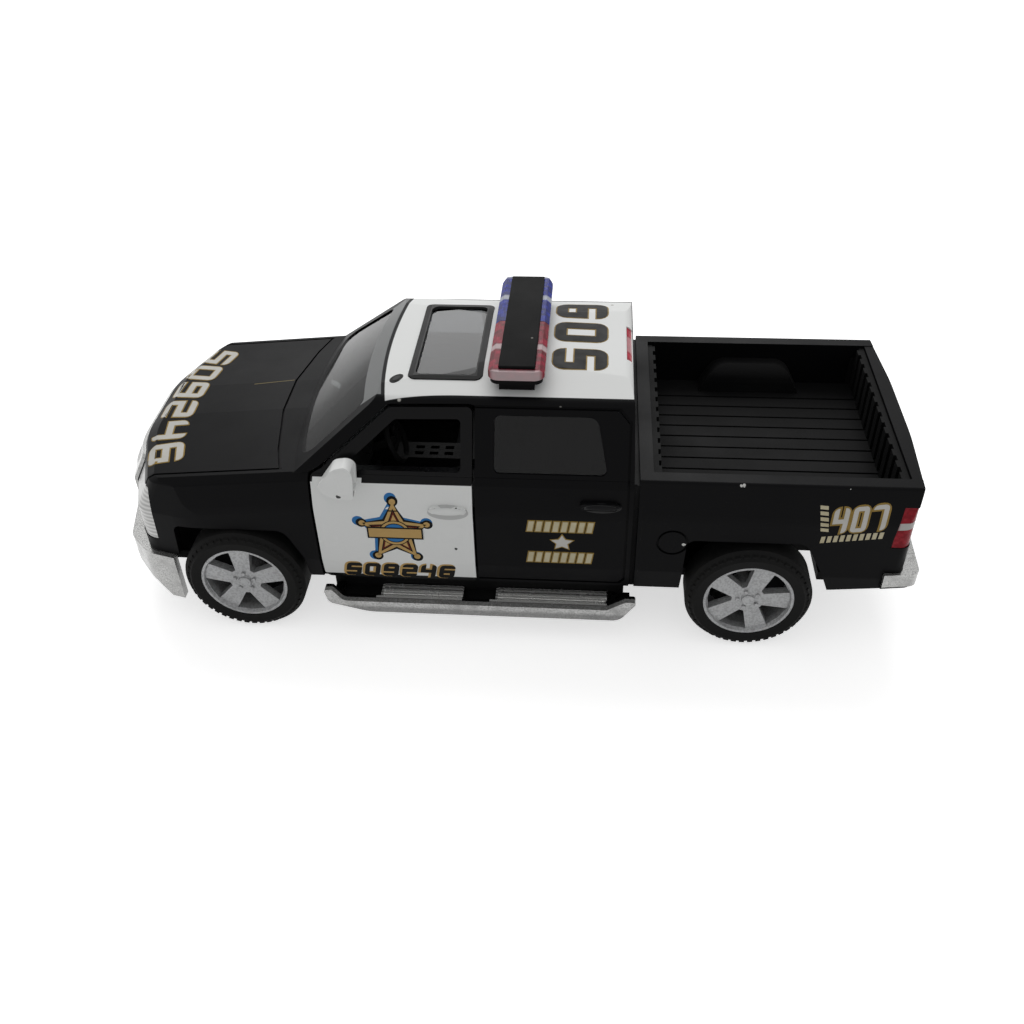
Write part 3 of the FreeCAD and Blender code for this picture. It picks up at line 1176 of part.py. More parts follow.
def make_wheel(node, x, sign, turn):
    """A rim and its tyre: one spoke stands straight up before the wheels' turn."""
    spin = FreeCAD.Rotation(FreeCAD.Vector(0, 1, 0), -turn)
    if sign < 0:
        spin = spin.multiply(FreeCAD.Rotation(FreeCAD.Vector(0, 0, 1), 180))
    place = FreeCAD.Placement(FreeCAD.Vector(x.value, 0, S["tyre_radius"].value), spin)
    make_rim_body(node, S["wheel_face_y"]).Placement = place
    make_tyre_body(node, S["wheel_face_y"]).Placement = place


def new_body(name):
    body = doc.addObject("PartDesign::Body", name)
    body.Label = name
    return body


def plane_of(body, plane):
    role = PLANES[plane][0]
    return next(f for f in body.Origin.OriginFeatures if f.Role == role)


def body_sketch(body, name, plane, corners):
    sketch = body.newObject("Sketcher::SketchObject", name)
    sketch.AttachmentSupport = [(plane_of(body, plane), "")]
    sketch.MapMode = "FlatFace"
    draw_outline(sketch, corners)
    return sketch


def revolved(body, name, corners):
    """Turns a front outline about the Y axis."""
    sketch = body_sketch(body, name + "_profile", "front", corners)
    turn = body.newObject("PartDesign::Revolution", name)
    turn.Profile = sketch
    turn.ReferenceAxis = (sketch, ["H_Axis"])
    turn.Angle = 360
    return turn


def make_rim_body(node, outer):
    """Flat spokes inside a thin lip, a barrel open to the back, and a sleeve closed by its centre cap."""
    body = new_body(f"rim_{node}")
    back = outer - S["rim_width"]
    lip = outer - 0.3
    face = outer - S["rim_dish"]
    behind = face - S["spoke_wall"]
    pin_end = face - S["hub_cap_wall"]
    bore = S["axle_radius"] + 0.5 * S["fit_gap"]
    radius = S["rim_radius"] - 0.5 * S["fit_gap"]
    barrel = radius - S["rim_wall"]
    revolved(body, f"rim_{node}_turned", [
        (back + 0.6, bore),
        (pin_end, bore),
        (pin_end, 0.0),
        (face + 0.3, 0.0),
        (face + 0.3, 0.85),
        (face, 1.1),
        (face, barrel - 0.1),
        (lip, barrel + 0.1),
        (lip, radius),
        (back, radius),
        (back, barrel),
        (behind, barrel),
        (behind, S["hub_radius"]),
        (back + 0.6, S["hub_radius"]),
    ])
    doc.recompute()
    window = body.newObject("Sketcher::SketchObject", f"rim_{node}_window_outline")
    window.AttachmentSupport = [(plane_of(body, "side"), "")]
    window.MapMode = "FlatFace"
    draw_outline(window, spoke_window(barrel - 0.15))
    pocket = body.newObject("PartDesign::Pocket", f"rim_{node}_window")
    pocket.Profile = window
    pocket.Type = 1
    pocket.Midplane = True
    pattern = body.newObject("PartDesign::PolarPattern", f"rim_{node}_windows")
    pattern.Originals = [pocket]
    pattern.Axis = (window, ["N_Axis"])
    pattern.Angle = 360
    pattern.Occurrences = int(S["spoke_count"].value)
    body.Tip = pattern
    keep(f"rim_{node}", body)
    return body


def spoke_window(rim):
    """The opening beside the upright spoke: a wedge from the hub to the rim, turned by half a pitch."""
    half_pitch = math.pi / S["spoke_count"].value
    along = (math.sin(half_pitch), math.cos(half_pitch))
    reach = rim * math.cos(0.5 * half_pitch)
    half = rim * math.sin(half_pitch) - S["spoke_half_width"]
    inner = S["hub_radius"] + 0.3
    wedge = [(-0.35, inner), (0.35, inner), (half, reach), (0.0, rim), (-half, reach)]
    return [(across * along[1] + out * along[0], out * along[1] - across * along[0]) for across, out in wedge]


def make_tyre_body(node, outer):
    body = new_body(f"tyre_{node}")
    back = outer - S["tyre_width"]
    bore = S["rim_radius"] + 0.5 * S["fit_gap"]
    revolved(body, f"tyre_{node}_turned", [
        (back + 0.2, bore),
        (outer - 0.2, bore),
        (outer, S["tyre_radius"] - 1.3),
        (outer - 1.2, S["tyre_radius"]),
        (back + 1.2, S["tyre_radius"]),
        (back, S["tyre_radius"] - 1.3),
    ])
    keep(f"tyre_{node}", body)
    return body


make_body_shell()
make_doors()
make_glass()
make_bed_liner()
make_tailgate()
make_front_end()
make_rear_end()
make_base_plate()
make_running_boards()
make_light_bar()
make_cabin()
make_steering_wheel()
for end, x, turn in (("front", S["front_axle_x"], 0.0), ("rear", REAR_AXLE_X, S["rear_spoke_turn"].value)):
    make_axle(end, x)
    make_wheel(f"{end}_left", x, 1, turn)
    make_wheel(f"{end}_right", x, -1, turn)

doc.recompute()
for thing in doc.Objects:
    if "Invalid" in thing.State or "Error" in thing.State:
        raise RuntimeError(f"{thing.Name} failed: {thing.State}")

os.makedirs("parts", exist_ok=True)
for node, solid in PARTS.items():
    shape = solid.Shape
    if shape.isNull() or not shape.isValid():
        raise RuntimeError(f"{node} has no valid shape")
    shape.exportStep(f"parts/{node}.step")
    print(f"{node}: {len(shape.Solids)} solids, {shape.Volume:.1f} mm3")
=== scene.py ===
# %% [markdown]
# A die-cast toy police pickup, about 127 mm long.
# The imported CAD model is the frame: it gives every casting, lens and wheel its shape and place.
# This lesson gives those castings their paint, plating, rubber and clear plastic, and adds the
# printed markings, tyre lugs, wheel nuts and door grips that are too fine for the CAD model.

# %% Load the frame
import bpy
import math
from mathutils import Matrix, Vector


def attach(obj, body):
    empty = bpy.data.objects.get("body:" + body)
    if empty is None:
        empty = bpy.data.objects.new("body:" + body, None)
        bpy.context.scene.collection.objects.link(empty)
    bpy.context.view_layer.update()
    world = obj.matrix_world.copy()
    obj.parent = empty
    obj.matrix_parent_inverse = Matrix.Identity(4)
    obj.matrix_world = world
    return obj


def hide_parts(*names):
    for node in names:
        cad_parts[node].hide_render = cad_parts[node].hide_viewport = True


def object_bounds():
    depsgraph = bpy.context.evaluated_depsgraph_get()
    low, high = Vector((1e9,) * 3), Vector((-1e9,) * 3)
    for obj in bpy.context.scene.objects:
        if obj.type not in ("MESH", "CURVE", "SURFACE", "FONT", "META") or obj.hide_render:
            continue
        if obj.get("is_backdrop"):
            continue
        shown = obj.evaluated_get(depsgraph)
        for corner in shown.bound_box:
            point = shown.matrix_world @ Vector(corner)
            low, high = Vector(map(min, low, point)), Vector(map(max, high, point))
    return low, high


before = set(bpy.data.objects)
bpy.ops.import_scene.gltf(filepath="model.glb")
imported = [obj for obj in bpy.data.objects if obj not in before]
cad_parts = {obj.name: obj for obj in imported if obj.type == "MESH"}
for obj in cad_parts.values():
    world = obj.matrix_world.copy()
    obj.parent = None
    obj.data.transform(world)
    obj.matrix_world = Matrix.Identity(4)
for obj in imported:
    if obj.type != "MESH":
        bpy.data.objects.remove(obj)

cad_low, cad_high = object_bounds()
scene = bpy.context.scene
print(len(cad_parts), "castings and mouldings,",
      [round(1000 * (b - a), 1) for a, b in zip(cad_low, cad_high)], "mm")

# %% [markdown]
# Sizes in the CAD are in millimetres and Blender works in metres, so one small function turns
# a length from the drawing into a length in the scene.

# %% Millimetres to metres
def mm(*lengths):
    """One length, or a point, given in millimetres."""
    metres = [length / 1000 for length in lengths]
    return metres[0] if len(metres) == 1 else Vector(metres)


# %% [markdown]
# The camera stands where the photographer stood: on the toy's left, about 18 cm away, and well
# above it. Its turn and tilt were fitted to the wheels, roof and load bed in the photograph.
# A camera looks along its own -Z axis, so its matrix is built from three directions.

# %% Camera
PICTURE = 1024
SENSOR = 36


def aim_camera(turn, tilt, roll, distance, focal_px, target):
    """A camera at a turn and tilt round a target, for a square picture."""
    turn, tilt, roll = (math.radians(angle) for angle in (turn, tilt, roll))
    back = Vector((math.sin(turn) * math.cos(tilt), -math.cos(turn) * math.cos(tilt), math.sin(tilt)))
    level_right = (-back).cross(Vector((0, 0, 1))).normalized()
    level_up = level_right.cross(-back)
    right = math.cos(roll) * level_right + math.sin(roll) * level_up
    up = math.cos(roll) * level_up - math.sin(roll) * level_right
    lens = bpy.data.cameras.new("bench_camera")
    lens.sensor_width = SENSOR
    lens.lens = focal_px / PICTURE * SENSOR
    lens.clip_start = 0.01
    camera = bpy.data.objects.new("bench_camera", lens)
    scene.collection.objects.link(camera)
    placed = Matrix((right, up, back)).transposed().to_4x4()
    placed.translation = target + distance * back
    camera.matrix_world = placed
    return camera


# The point of the photograph that the lens looks at, in pixels from its upper left corner
AIM_X, AIM_Y = 511.4, 512.4
camera = aim_camera(turn=185.3, tilt=39.4, roll=-1.6, distance=0.1835, focal_px=1043.8,
                    target=mm(0.4, 0, 6.5))
camera.data.shift_x = (PICTURE / 2 - AIM_X) / PICTURE
camera.data.shift_y = (AIM_Y - PICTURE / 2) / PICTURE
scene.camera = camera
print("camera at", [round(1000 * v) for v in camera.matrix_world.translation], "mm")

# %% [markdown]
# Materials are made of nodes. These short helpers add a node, set its plain values and join its
# sockets, so that a finish below reads like a recipe. Patterns that more than one finish uses
# are node groups: they are built once and placed in each material with their own values.

# %% Node helpers
def add_node(tree, kind, values=(), **options):
    """Adds a node; values are (socket, plain value or the output socket that feeds it)."""
    node = tree.nodes.new("ShaderNode" + kind)
    for option, choice in options.items():
        setattr(node, option, choice)
    for socket, value in dict(values).items():
        if isinstance(value, bpy.types.NodeSocket):
            tree.links.new(value, node.inputs[socket])
        else:
            node.inputs[socket].default_value = value
    return node


def calculate(tree, operation, *terms):
    """One step of arithmetic on numbers or sockets."""
    return add_node(tree, "Math", enumerate(terms), operation=operation).outputs[0]


def multiply(tree, *terms):
    """The product of numbers or sockets: of masks, it is 1 where all of them are 1."""
    product = terms[0]
    for term in terms[1:]:
        product = calculate(tree, "MULTIPLY", product, term)
    return product


def ramp(tree, value, low, high):
    """Turns low..high into 0..1, cut off at both ends."""
    return add_node(tree, "MapRange", {0: value, 1: low, 2: high, 3: 0.0, 4: 1.0}).outputs[0]


def object_place(tree):
    """The Object coordinates of the shaded point, in metres."""
    return add_node(tree, "TexCoord").outputs["Object"]


def object_axes(tree):
    """The three Object coordinates, one by one."""
    return add_node(tree, "SeparateXYZ", {0: object_place(tree)}).outputs


def full_colour(colour):
    """A grey level, or red, green and blue, with its alpha; a socket stays as it is."""
    if isinstance(colour, bpy.types.NodeSocket):
        return colour
    return (colour, colour, colour, 1.0) if isinstance(colour, float) else (*colour, 1.0)


def blend_colour(tree, mask, under, over):
    """Shows one colour over another where the mask is 1."""
    values = {0: mask, 6: full_colour(under), 7: full_colour(over)}
    return add_node(tree, "Mix", values, data_type="RGBA").outputs[2]


def new_group(name, inputs, outputs):
    """An empty shader node group with its sockets, and its two end nodes."""
    group = bpy.data.node_groups.new(name, "ShaderNodeTree")
    for label, value in inputs.items():
        kind = "NodeSocketVector" if isinstance(value, tuple) else "NodeSocketFloat"
        socket = group.interface.new_socket(label, in_out="INPUT", socket_type=kind)
        socket.default_value = value
    for label in outputs:
        group.interface.new_socket(label, in_out="OUTPUT", socket_type="NodeSocketFloat")
    return group, group.nodes.new("NodeGroupInput"), group.nodes.new("NodeGroupOutput")


def use_group(tree, group, **values):
    """Places a node group; values are plain or the output sockets that feed its inputs."""
    return add_node(tree, "Group", values, node_tree=group)


# %% [markdown]
# Paint and plastic are never quite even. A fine noise gives the slight ripple of paint on a
# casting, and a second, broad one makes some places duller, as from handling. The group gives a
# height for a Bump node and a value from 0 to 1 for the roughness.

# %% Ripple and handling
ripple, ripple_in, ripple_out = new_group("ripple", {"Scale": 900.0, "Patch": 70.0}, ["Height", "Dull"])
place = object_place(ripple)
fine = add_node(ripple, "TexNoise", {"Vector": place, "Scale": ripple_in.outputs["Scale"],
                                     "Detail": 3.0})
broad = add_node(ripple, "TexNoise", {"Vector": place, "Scale": ripple_in.outputs["Patch"],
                                      "Detail": 4.0, "Roughness": 0.6})
ripple.links.new(fine.outputs[0], ripple_out.inputs["Height"])
ripple.links.new(ramp(ripple, broad.outputs[0], 0.35, 0.7), ripple_out.inputs["Dull"])
print("ripple group:", len(ripple.nodes), "nodes")

# %% [markdown]
# A toy that has been played with has a few pale specks of dust. Voronoi cells give each speck a
# place, and a noise lets only some of the cells show one. They lie on faces that look upwards.

# %% Dust specks
dust, dust_in, dust_out = new_group("dust", {"Scale": 260.0, "Share": 0.62}, ["Mask"])
place = object_place(dust)
cells = add_node(dust, "TexVoronoi", {"Vector": place, "Scale": dust_in.outputs["Scale"]})
speck = ramp(dust, cells.outputs["Distance"], 0.085, 0.05)
chance = add_node(dust, "SeparateColor", {0: cells.outputs["Color"]}).outputs[0]
rare = calculate(dust, "GREATER_THAN", chance, dust_in.outputs["Share"])
upward = add_node(dust, "SeparateXYZ", {0: add_node(dust, "NewGeometry").outputs["Normal"]}).outputs[2]
mask = multiply(dust, speck, rare, ramp(dust, upward, 0.2, 0.8))
dust.links.new(mask, dust_out.inputs["Mask"])
print("dust group:", len(dust.nodes), "nodes")

# %% [markdown]
# A paint chip is a small ragged spot where the bare metal shows. The group measures how far a
# point is from the chip's middle, adds noise to that distance and cuts it off sharply. The
# chip's middle and size are inputs, so each chip sits where the photograph has one.

# %% Chips
chip, chip_in, chip_out = new_group("chip", {"Middle": (0.0, 0.0, 0.0), "Size": 0.0005}, ["Mask"])
place = object_place(chip)
away = add_node(chip, "VectorMath", {0: place, 1: chip_in.outputs["Middle"]},
                operation="DISTANCE").outputs["Value"]
ragged = add_node(chip, "TexNoise", {"Vector": place, "Scale": 2600.0, "Detail": 2.0}).outputs[0]
reach = multiply(chip, ragged, 2.0, chip_in.outputs["Size"])
chip.links.new(calculate(chip, "LESS_THAN", away, reach), chip_out.inputs["Mask"])
print("chip group:", len(chip.nodes), "nodes")


def chips_at(tree, spots):
    """One mask for several chips, each given as (x, y, z, size) in millimetres."""
    mask = None
    for x, y, z, size in spots:
        one = use_group(tree, chip, Middle=tuple(mm(x, y, z)), Size=mm(size)).outputs["Mask"]
        mask = one if mask is None else calculate(tree, "MAXIMUM", mask, one)
    return mask


# %% [markdown]
# Every finish starts in the same way: a material with one Principled shader, whose plain
# numbers are set on its own sockets. The patterns are linked afterwards.

# %% A new finish
def new_finish(name, colour, roughness, metallic=0.0, **plain):
    """A material with its Principled shader; further plain values are given by socket name."""
    material = bpy.data.materials.new(name)
    material.use_nodes = True
    tree = material.node_tree
    shader = tree.nodes["Principled BSDF"]
    shader.inputs["Base Color"].default_value = full_colour(colour)
    shader.inputs["Roughness"].default_value = roughness
    shader.inputs["Metallic"].default_value = metallic
    for socket, value in plain.items():
        shader.inputs[socket.replace("_", " ")].default_value = value
    return material, tree, shader


def coat(tree, shader, colour):
    """Feeds the shader's colour."""
    tree.links.new(colour, shader.inputs["Base Color"])


def roughen(tree, shader, low, high, scale=900.0, patch=70.0, height=0.02, detail_mm=0.02):
    """Varies the roughness between two values and ripples the surface."""
    surface = use_group(tree, ripple, Scale=scale, Patch=patch)
    spread = add_node(tree, "MapRange", {0: surface.outputs["Dull"], 3: low, 4: high})
    tree.links.new(spread.outputs[0], shader.inputs["Roughness"])
    bump = add_node(tree, "Bump", {"Strength": height, "Distance": mm(detail_mm),
                                   "Height": surface.outputs["Height"]})
    tree.links.new(bump.outputs[0], shader.inputs["Normal"])
    return surface


def edge_at(tree, value, low, high):
    """Goes from 0 to 1 between two places in millimetres."""
    return ramp(tree, value, mm(low), mm(high))


def within(tree, value, low, high, edge=0.04):
    """1 between two places in millimetres, with a thin soft edge."""
    low, high, edge = mm(low), mm(high), mm(edge)
    rising = ramp(tree, value, low - edge, low + edge)
    falling = ramp(tree, value, high + edge, high - edge)
    return multiply(tree, rising, falling)


# %% [markdown]
# The body is satin black, and its roof panel was masked and sprayed white. Object coordinates
# say which point of the casting is shaded, so the white panel is a region of the roof. Its
# front edge is bowed, and its sides flare out a little beside the windshield. In front of it a
# grey strip lies where the windshield's clear edge laps over the roof, and a faint dusty line
# runs along the hood. Zinc shows through at a few chips along the edges.

# %% Body paint
WHITE = (0.77, 0.78, 0.77)
BLACK = (0.0034, 0.0034, 0.0038)
BARE_ZINC = (0.62, 0.62, 0.60)
DUST = (0.42, 0.41, 0.38)
LAPPED_GREY = (0.20, 0.205, 0.205)
DUSTY_GOLD = (0.30, 0.24, 0.10)
FRONT_BOW, SIDE_FLARE, LINE_LEAN = 5.2, 9.0, -0.09

body_paint, tree, shader = new_finish("satin_black_paint", BLACK, 0.4, Specular_IOR_Level=0.05)
x, y, z = object_axes(tree)
side_y = calculate(tree, "ABSOLUTE", y)
front_x = calculate(tree, "ADD", x, multiply(tree, calculate(tree, "POWER", side_y, 2.0), FRONT_BOW))
forward = calculate(tree, "MAXIMUM", calculate(tree, "SUBTRACT", x, mm(6.0)), 0.0)
flare = multiply(tree, calculate(tree, "POWER", forward, 2.0), SIDE_FLARE)
across = edge_at(tree, calculate(tree, "SUBTRACT", side_y, flare), 14.5, 14.42)
behind = edge_at(tree, front_x, 18.25, 18.17)
ahead = edge_at(tree, x, -19.1, -19.02)
panel = multiply(tree, across, behind, ahead, edge_at(tree, z, 38.4, 38.5))
painted = blend_colour(tree, panel, BLACK, WHITE)
lapped = multiply(tree, edge_at(tree, front_x, 18.75, 18.8), edge_at(tree, z, 37.2, 37.3),
                  edge_at(tree, side_y, 14.6, 14.5))
painted = blend_colour(tree, lapped, painted, LAPPED_GREY)
line_y = calculate(tree, "ADD", y, multiply(tree, x, LINE_LEAN))
dusty_line = multiply(tree, within(tree, x, 36.6, 43.4), within(tree, line_y, -7.86, -7.66),
                      edge_at(tree, z, 28.0, 28.1), 0.5)
painted = blend_colour(tree, dusty_line, painted, DUSTY_GOLD)
BODY_CHIPS = [
    (-35.2, 21.0, 30.2, 0.24), (-34.8, 21.0, 30.1, 0.2), (-50.2, 21.2, 30.1, 0.16),
    (-61.4, 21.3, 29.6, 0.5), (-27.4, 22.2, 19.6, 0.3), (-22.0, 21.9, 28.0, 0.2),
    (-44.5, 22.1, 27.0, 0.2),
]
painted = blend_colour(tree, chips_at(tree, BODY_CHIPS), painted, BARE_ZINC)
painted = blend_colour(tree, use_group(tree, dust).outputs["Mask"], painted, DUST)
coat(tree, shader, painted)
roughen(tree, shader, 0.36, 0.5, height=0.05)
print("body paint:", len(tree.nodes), "nodes,", len(BODY_CHIPS), "chips")

# %% [markdown]
# The front doors are white below the window line and black round the window. The white only
# covers the outside, so the mask also asks how far a point is from the middle of the toy, with
# the shoulder's lean taken off. The mirror is white too, and the door's chips are dark.

# %% Door paint
CHIP_BLACK = 0.05
SHOULDER_LEAN = 0.2
door_paint, tree, shader = new_finish("white_door_paint", WHITE, 0.3, Specular_IOR_Level=0.1)
x, y, z = object_axes(tree)
side_y = calculate(tree, "ABSOLUTE", y)
shoulder = calculate(tree, "MAXIMUM", calculate(tree, "SUBTRACT", z, mm(24.4)), 0.0)
skin_y = calculate(tree, "ADD", side_y, multiply(tree, shoulder, SHOULDER_LEAN))
outside = edge_at(tree, skin_y, 21.6, 21.65)
below_window = edge_at(tree, z, 28.85, 28.8)
above_sill = edge_at(tree, z, 10.9, 11.0)
mirror = multiply(tree, within(tree, x, 20.6, 28.0), edge_at(tree, side_y, 20.75, 20.8),
                  edge_at(tree, z, 28.7, 28.8))
white_part = calculate(tree, "MAXIMUM", multiply(tree, outside, below_window, above_sill), mirror)
painted = blend_colour(tree, white_part, BLACK, WHITE)
DOOR_CHIPS = [
    (7.6, 22.6, 25.3, 0.3), (6.6, 22.5, 25.6, 0.2), (7.0, 22.2, 17.2, 0.25), (21.5, 24.2, 32.6, 0.35),
    (23.6, 24.2, 28.2, 0.4), (21.4, 23.6, 28.6, 0.35),
]
painted = blend_colour(tree, chips_at(tree, DOOR_CHIPS), painted, CHIP_BLACK)
coat(tree, shader, painted)
roughen(tree, shader, 0.22, 0.34, height=0.03)
print("door paint:", len(tree.nodes), "nodes,", len(DOOR_CHIPS), "chips")

# %% [markdown]
# Vacuum-plated trim is a thin bright skin on plastic. On this toy it is worn: the skin is full
# of fine bright and dull specks. A fine noise mixes bright plating with duller places, and the
# surface is only partly metallic, so it stays bright where nothing bright is mirrored in it.

# %% Plated trim
def worn_plating(name, bright, dull, metallic, specks=5200.0):
    """Bright plating with fine dull specks."""
    material, tree, shader = new_finish(name, bright, 0.2, metallic)
    surface = roughen(tree, shader, 0.14, 0.34, scale=specks, patch=380.0, height=0.3, detail_mm=0.03)
    rubbed = multiply(tree, ramp(tree, surface.outputs["Height"], 0.62, 0.40), 0.55)
    patchy = multiply(tree, surface.outputs["Dull"], 0.6)
    colour = blend_colour(tree, calculate(tree, "MAXIMUM", rubbed, patchy), bright, dull)
    coat(tree, shader, colour)
    return material, tree, shader, colour


DULL_PLATING = 0.13
plating = worn_plating("worn_plating", (0.50, 0.50, 0.49), DULL_PLATING, 0.75)[0]
print("plating:", len(plating.node_tree.nodes), "nodes")

# %% [markdown]
# The running boards are plated too. Each has a bright outer rail and two ribbed step plates,
# and the hollows between and in front of the plates are black. Masks from the place along and
# across the board pick the plates and the hollows, and a sine across the board draws the ribs.
# Towards its bottom edge the board is darkened to grey, as painted shade.

# %% Running boards
RIB_PITCH = mm(0.7)
RIB_DARK, RIB_BRIGHT = 0.26, (0.95, 0.95, 0.93)
HOLLOW_BLACK, UNDERSIDE_PAINTED_SHADE = 0.006, 0.10
board_plating, tree, shader, rail = worn_plating(
    "worn_board_plating", (0.60, 0.60, 0.59), DULL_PLATING, 0.5, specks=3400.0)
x, y, z = object_axes(tree)
side_y = calculate(tree, "ABSOLUTE", y)
front_plate, rear_plate = within(tree, x, 6.6, 20.4), within(tree, x, -16.4, 2.2)
plates = calculate(tree, "MAXIMUM", front_plate, rear_plate)
inner = edge_at(tree, side_y, 23.05, 22.95)
wave = calculate(tree, "SINE", multiply(tree, side_y, 2 * math.pi / RIB_PITCH))
ribbed = blend_colour(tree, ramp(tree, wave, -0.9, -0.1), RIB_DARK, RIB_BRIGHT)
colour = blend_colour(tree, multiply(tree, inner, plates), rail, ribbed)
hollow = multiply(tree, inner, calculate(tree, "SUBTRACT", 1.0, plates))
colour = blend_colour(tree, hollow, colour, HOLLOW_BLACK)
# Painted shade: the board is darkened towards its bottom edge.
underside = multiply(tree, edge_at(tree, z, 6.2, 5.6), 0.6)
colour = blend_colour(tree, underside, colour, UNDERSIDE_PAINTED_SHADE)
coat(tree, shader, colour)
print("running boards:", len(tree.nodes), "nodes")

# %% [markdown]
# Bed liner, base plate, seats and dashboard are moulded in black plastic with a spark-eroded
# grain. One function makes these finishes with their own depth of black and their own grain.

# %% Moulded black plastic
def moulded_black(name, level, low, high, grain, height):
    """Black plastic: its depth of black, its roughness from low to high, and its grain."""
    deep, dull = (level, level, level * 1.05), level * 1.6
    material, tree, shader = new_finish(name, deep, 0.6, Specular_IOR_Level=0.06)
    surface = roughen(tree, shader, low, high, scale=grain, height=height, detail_mm=0.03)
    colour = blend_colour(tree, surface.outputs["Dull"], deep, dull)
    colour = blend_colour(tree, use_group(tree, dust, Share=0.8).outputs["Mask"], colour, DUST)
    coat(tree, shader, colour)
    return material


bed_plastic = moulded_black("grained_bed_plastic", 0.0048, 0.55, 0.72, 2200.0, 0.3)
base_plastic = moulded_black("base_plate_plastic", 0.006, 0.5, 0.66, 1400.0, 0.2)
cabin_plastic = moulded_black("cabin_plastic", 0.016, 0.45, 0.62, 1800.0, 0.2)
trim_plastic = moulded_black("glossy_black_trim", 0.008, 0.25, 0.4, 1200.0, 0.05)
bar_plastic = moulded_black("light_bar_plastic", 0.0035, 0.6, 0.74, 2400.0, 0.25)
print("black plastics for bed, base, cabin, trim and light bar")

# %% [markdown]
# The sunroof's black ring has a grey moulding along its inner side. It is part of the same
# piece, so a mask from the place on the roof gives it its own colour.

# %% Sunroof ring
RING_GREY = 0.035
ring_plastic = moulded_black("sunroof_ring_plastic", 0.004, 0.25, 0.4, 1200.0, 0.05)
tree = ring_plastic.node_tree
shader = tree.nodes["Principled BSDF"]
x, y, z = object_axes(tree)
inner = multiply(tree, within(tree, x, 3.95, 13.45),
                 edge_at(tree, calculate(tree, "ABSOLUTE", y), 10.62, 10.55))
black = shader.inputs["Base Color"].links[0].from_socket
coat(tree, shader, blend_colour(tree, inner, black, RING_GREY))
print("sunroof ring:", len(tree.nodes), "nodes")

# %% [markdown]
# Tyres are soft black vinyl with a dull bloom, and rims are silver plastic with a faint
# metallic flake.

# %% Tyres and rims
tyre_rubber, tree, shader = new_finish("tyre_vinyl", 0.008, 0.7, Specular_IOR_Level=0.08)
surface = roughen(tree, shader, 0.55, 0.8, scale=1600.0, patch=160.0, height=0.2, detail_mm=0.04)
colour = blend_colour(tree, surface.outputs["Dull"], 0.006, (0.014, 0.014, 0.0135))
coat(tree, shader, colour)

rim_plastic, tree, shader = new_finish("silver_rim_plastic", 0.45, 0.4, 0.35)
surface = roughen(tree, shader, 0.32, 0.5, scale=3000.0, patch=200.0, height=0.12, detail_mm=0.02)
colour = blend_colour(tree, surface.outputs["Dull"], (0.36, 0.365, 0.37), (0.46, 0.465, 0.47))
flake = multiply(tree, ramp(tree, surface.outputs["Height"], 0.55, 0.40), 0.45)
colour = blend_colour(tree, flake, colour, 0.17)
coat(tree, shader, colour)

axle_steel, tree, shader = new_finish("axle_steel", 0.55, 0.3, 1.0)
roughen(tree, shader, 0.2, 0.4, scale=1200.0)
print("wheels:", tyre_rubber.name, rim_plastic.name, axle_steel.name)

# %% [markdown]
# The windows are clear plastic with a grey tint. Glass keeps plain transmission and metallic
# values, and only its roughness changes over the surface. The windshield has a low index of
# refraction, because a strong one mirrors the white surroundings and looks too bright.

# %% Clear mouldings
def clear_moulding(name, tint, low, high, height=0.004, index=1.3):
    """Tinted clear plastic with its roughness from low to high."""
    material, tree, shader = new_finish(name, tint, low, Transmission_Weight=1.0, IOR=index,
                                        Specular_IOR_Level=0.12)
    roughen(tree, shader, low, high, scale=260.0, patch=120.0, height=height)
    return material


screen_plastic = clear_moulding("tinted_screen", (0.06, 0.065, 0.065), 0.03, 0.06, 0.0, index=1.15)
dark_plastic = clear_moulding("dark_side_glass", (0.03, 0.033, 0.036), 0.05, 0.16)
roof_plastic = clear_moulding("sunroof_plastic", (0.04, 0.043, 0.045), 0.03, 0.06, 0.0)
print("windows:", screen_plastic.name, dark_plastic.name, roof_plastic.name)

# %% [markdown]
# The lamp lenses are red and blue plastic over a moulded reflector, so they look deep rather
# than clear. They are finished as coloured plastic that lets a little light through. Where the
# reflector shows, between the bulbs of the light bar, the lens is pale: a mask made from the
# place along the bar marks those patches. The tail lamps have one silver band each, and their
# inner and front faces are black, because they stand in the dark against the bed.

# %% Lamp lenses
LAMP_BLACK = 0.004


def against_bed(tree):
    """The inner and front faces of the tail lamps, the only lamps that lie so far behind."""
    x, y, z = object_axes(tree)
    inboard = edge_at(tree, calculate(tree, "ABSOLUTE", y), 18.95, 18.85)
    faces = calculate(tree, "MAXIMUM", inboard, edge_at(tree, x, -57.75, -57.6))
    return multiply(tree, faces, edge_at(tree, x, -50, -51))


def lens_plastic(name, deep, bright, pale, pale_mask, scale=900.0):
    """Coloured lens: deep and bright colour in a fine pattern, and pale patches from a mask."""
    material, tree, shader = new_finish(name, bright, 0.2, Transmission_Weight=0.1, IOR=1.35,
                                        Specular_IOR_Level=0.1)
    roughen(tree, shader, 0.1, 0.26, scale=500.0, patch=160.0, height=0.04)
    place = object_place(tree)
    cells = add_node(tree, "TexVoronoi", {"Vector": place, "Scale": scale}, distance="CHEBYCHEV")
    facets = ramp(tree, cells.outputs["Distance"], 0.15, 0.6)
    colour = blend_colour(tree, facets, bright, deep)
    colour = blend_colour(tree, pale_mask(tree), colour, pale)
    colour = blend_colour(tree, against_bed(tree), colour, LAMP_BLACK)
    coat(tree, shader, colour)
    return material


def bar_patches(tree):
    """Pale patches of the light bar: one in the middle of each half, and one at its end."""
    y = calculate(tree, "ABSOLUTE", object_axes(tree)[1])
    middle = within(tree, y, 6.9, 8.3, edge=0.2)
    end = within(tree, y, 14.2, 15.2, edge=0.3)
    return multiply(tree, calculate(tree, "MAXIMUM", middle, end), 0.75)


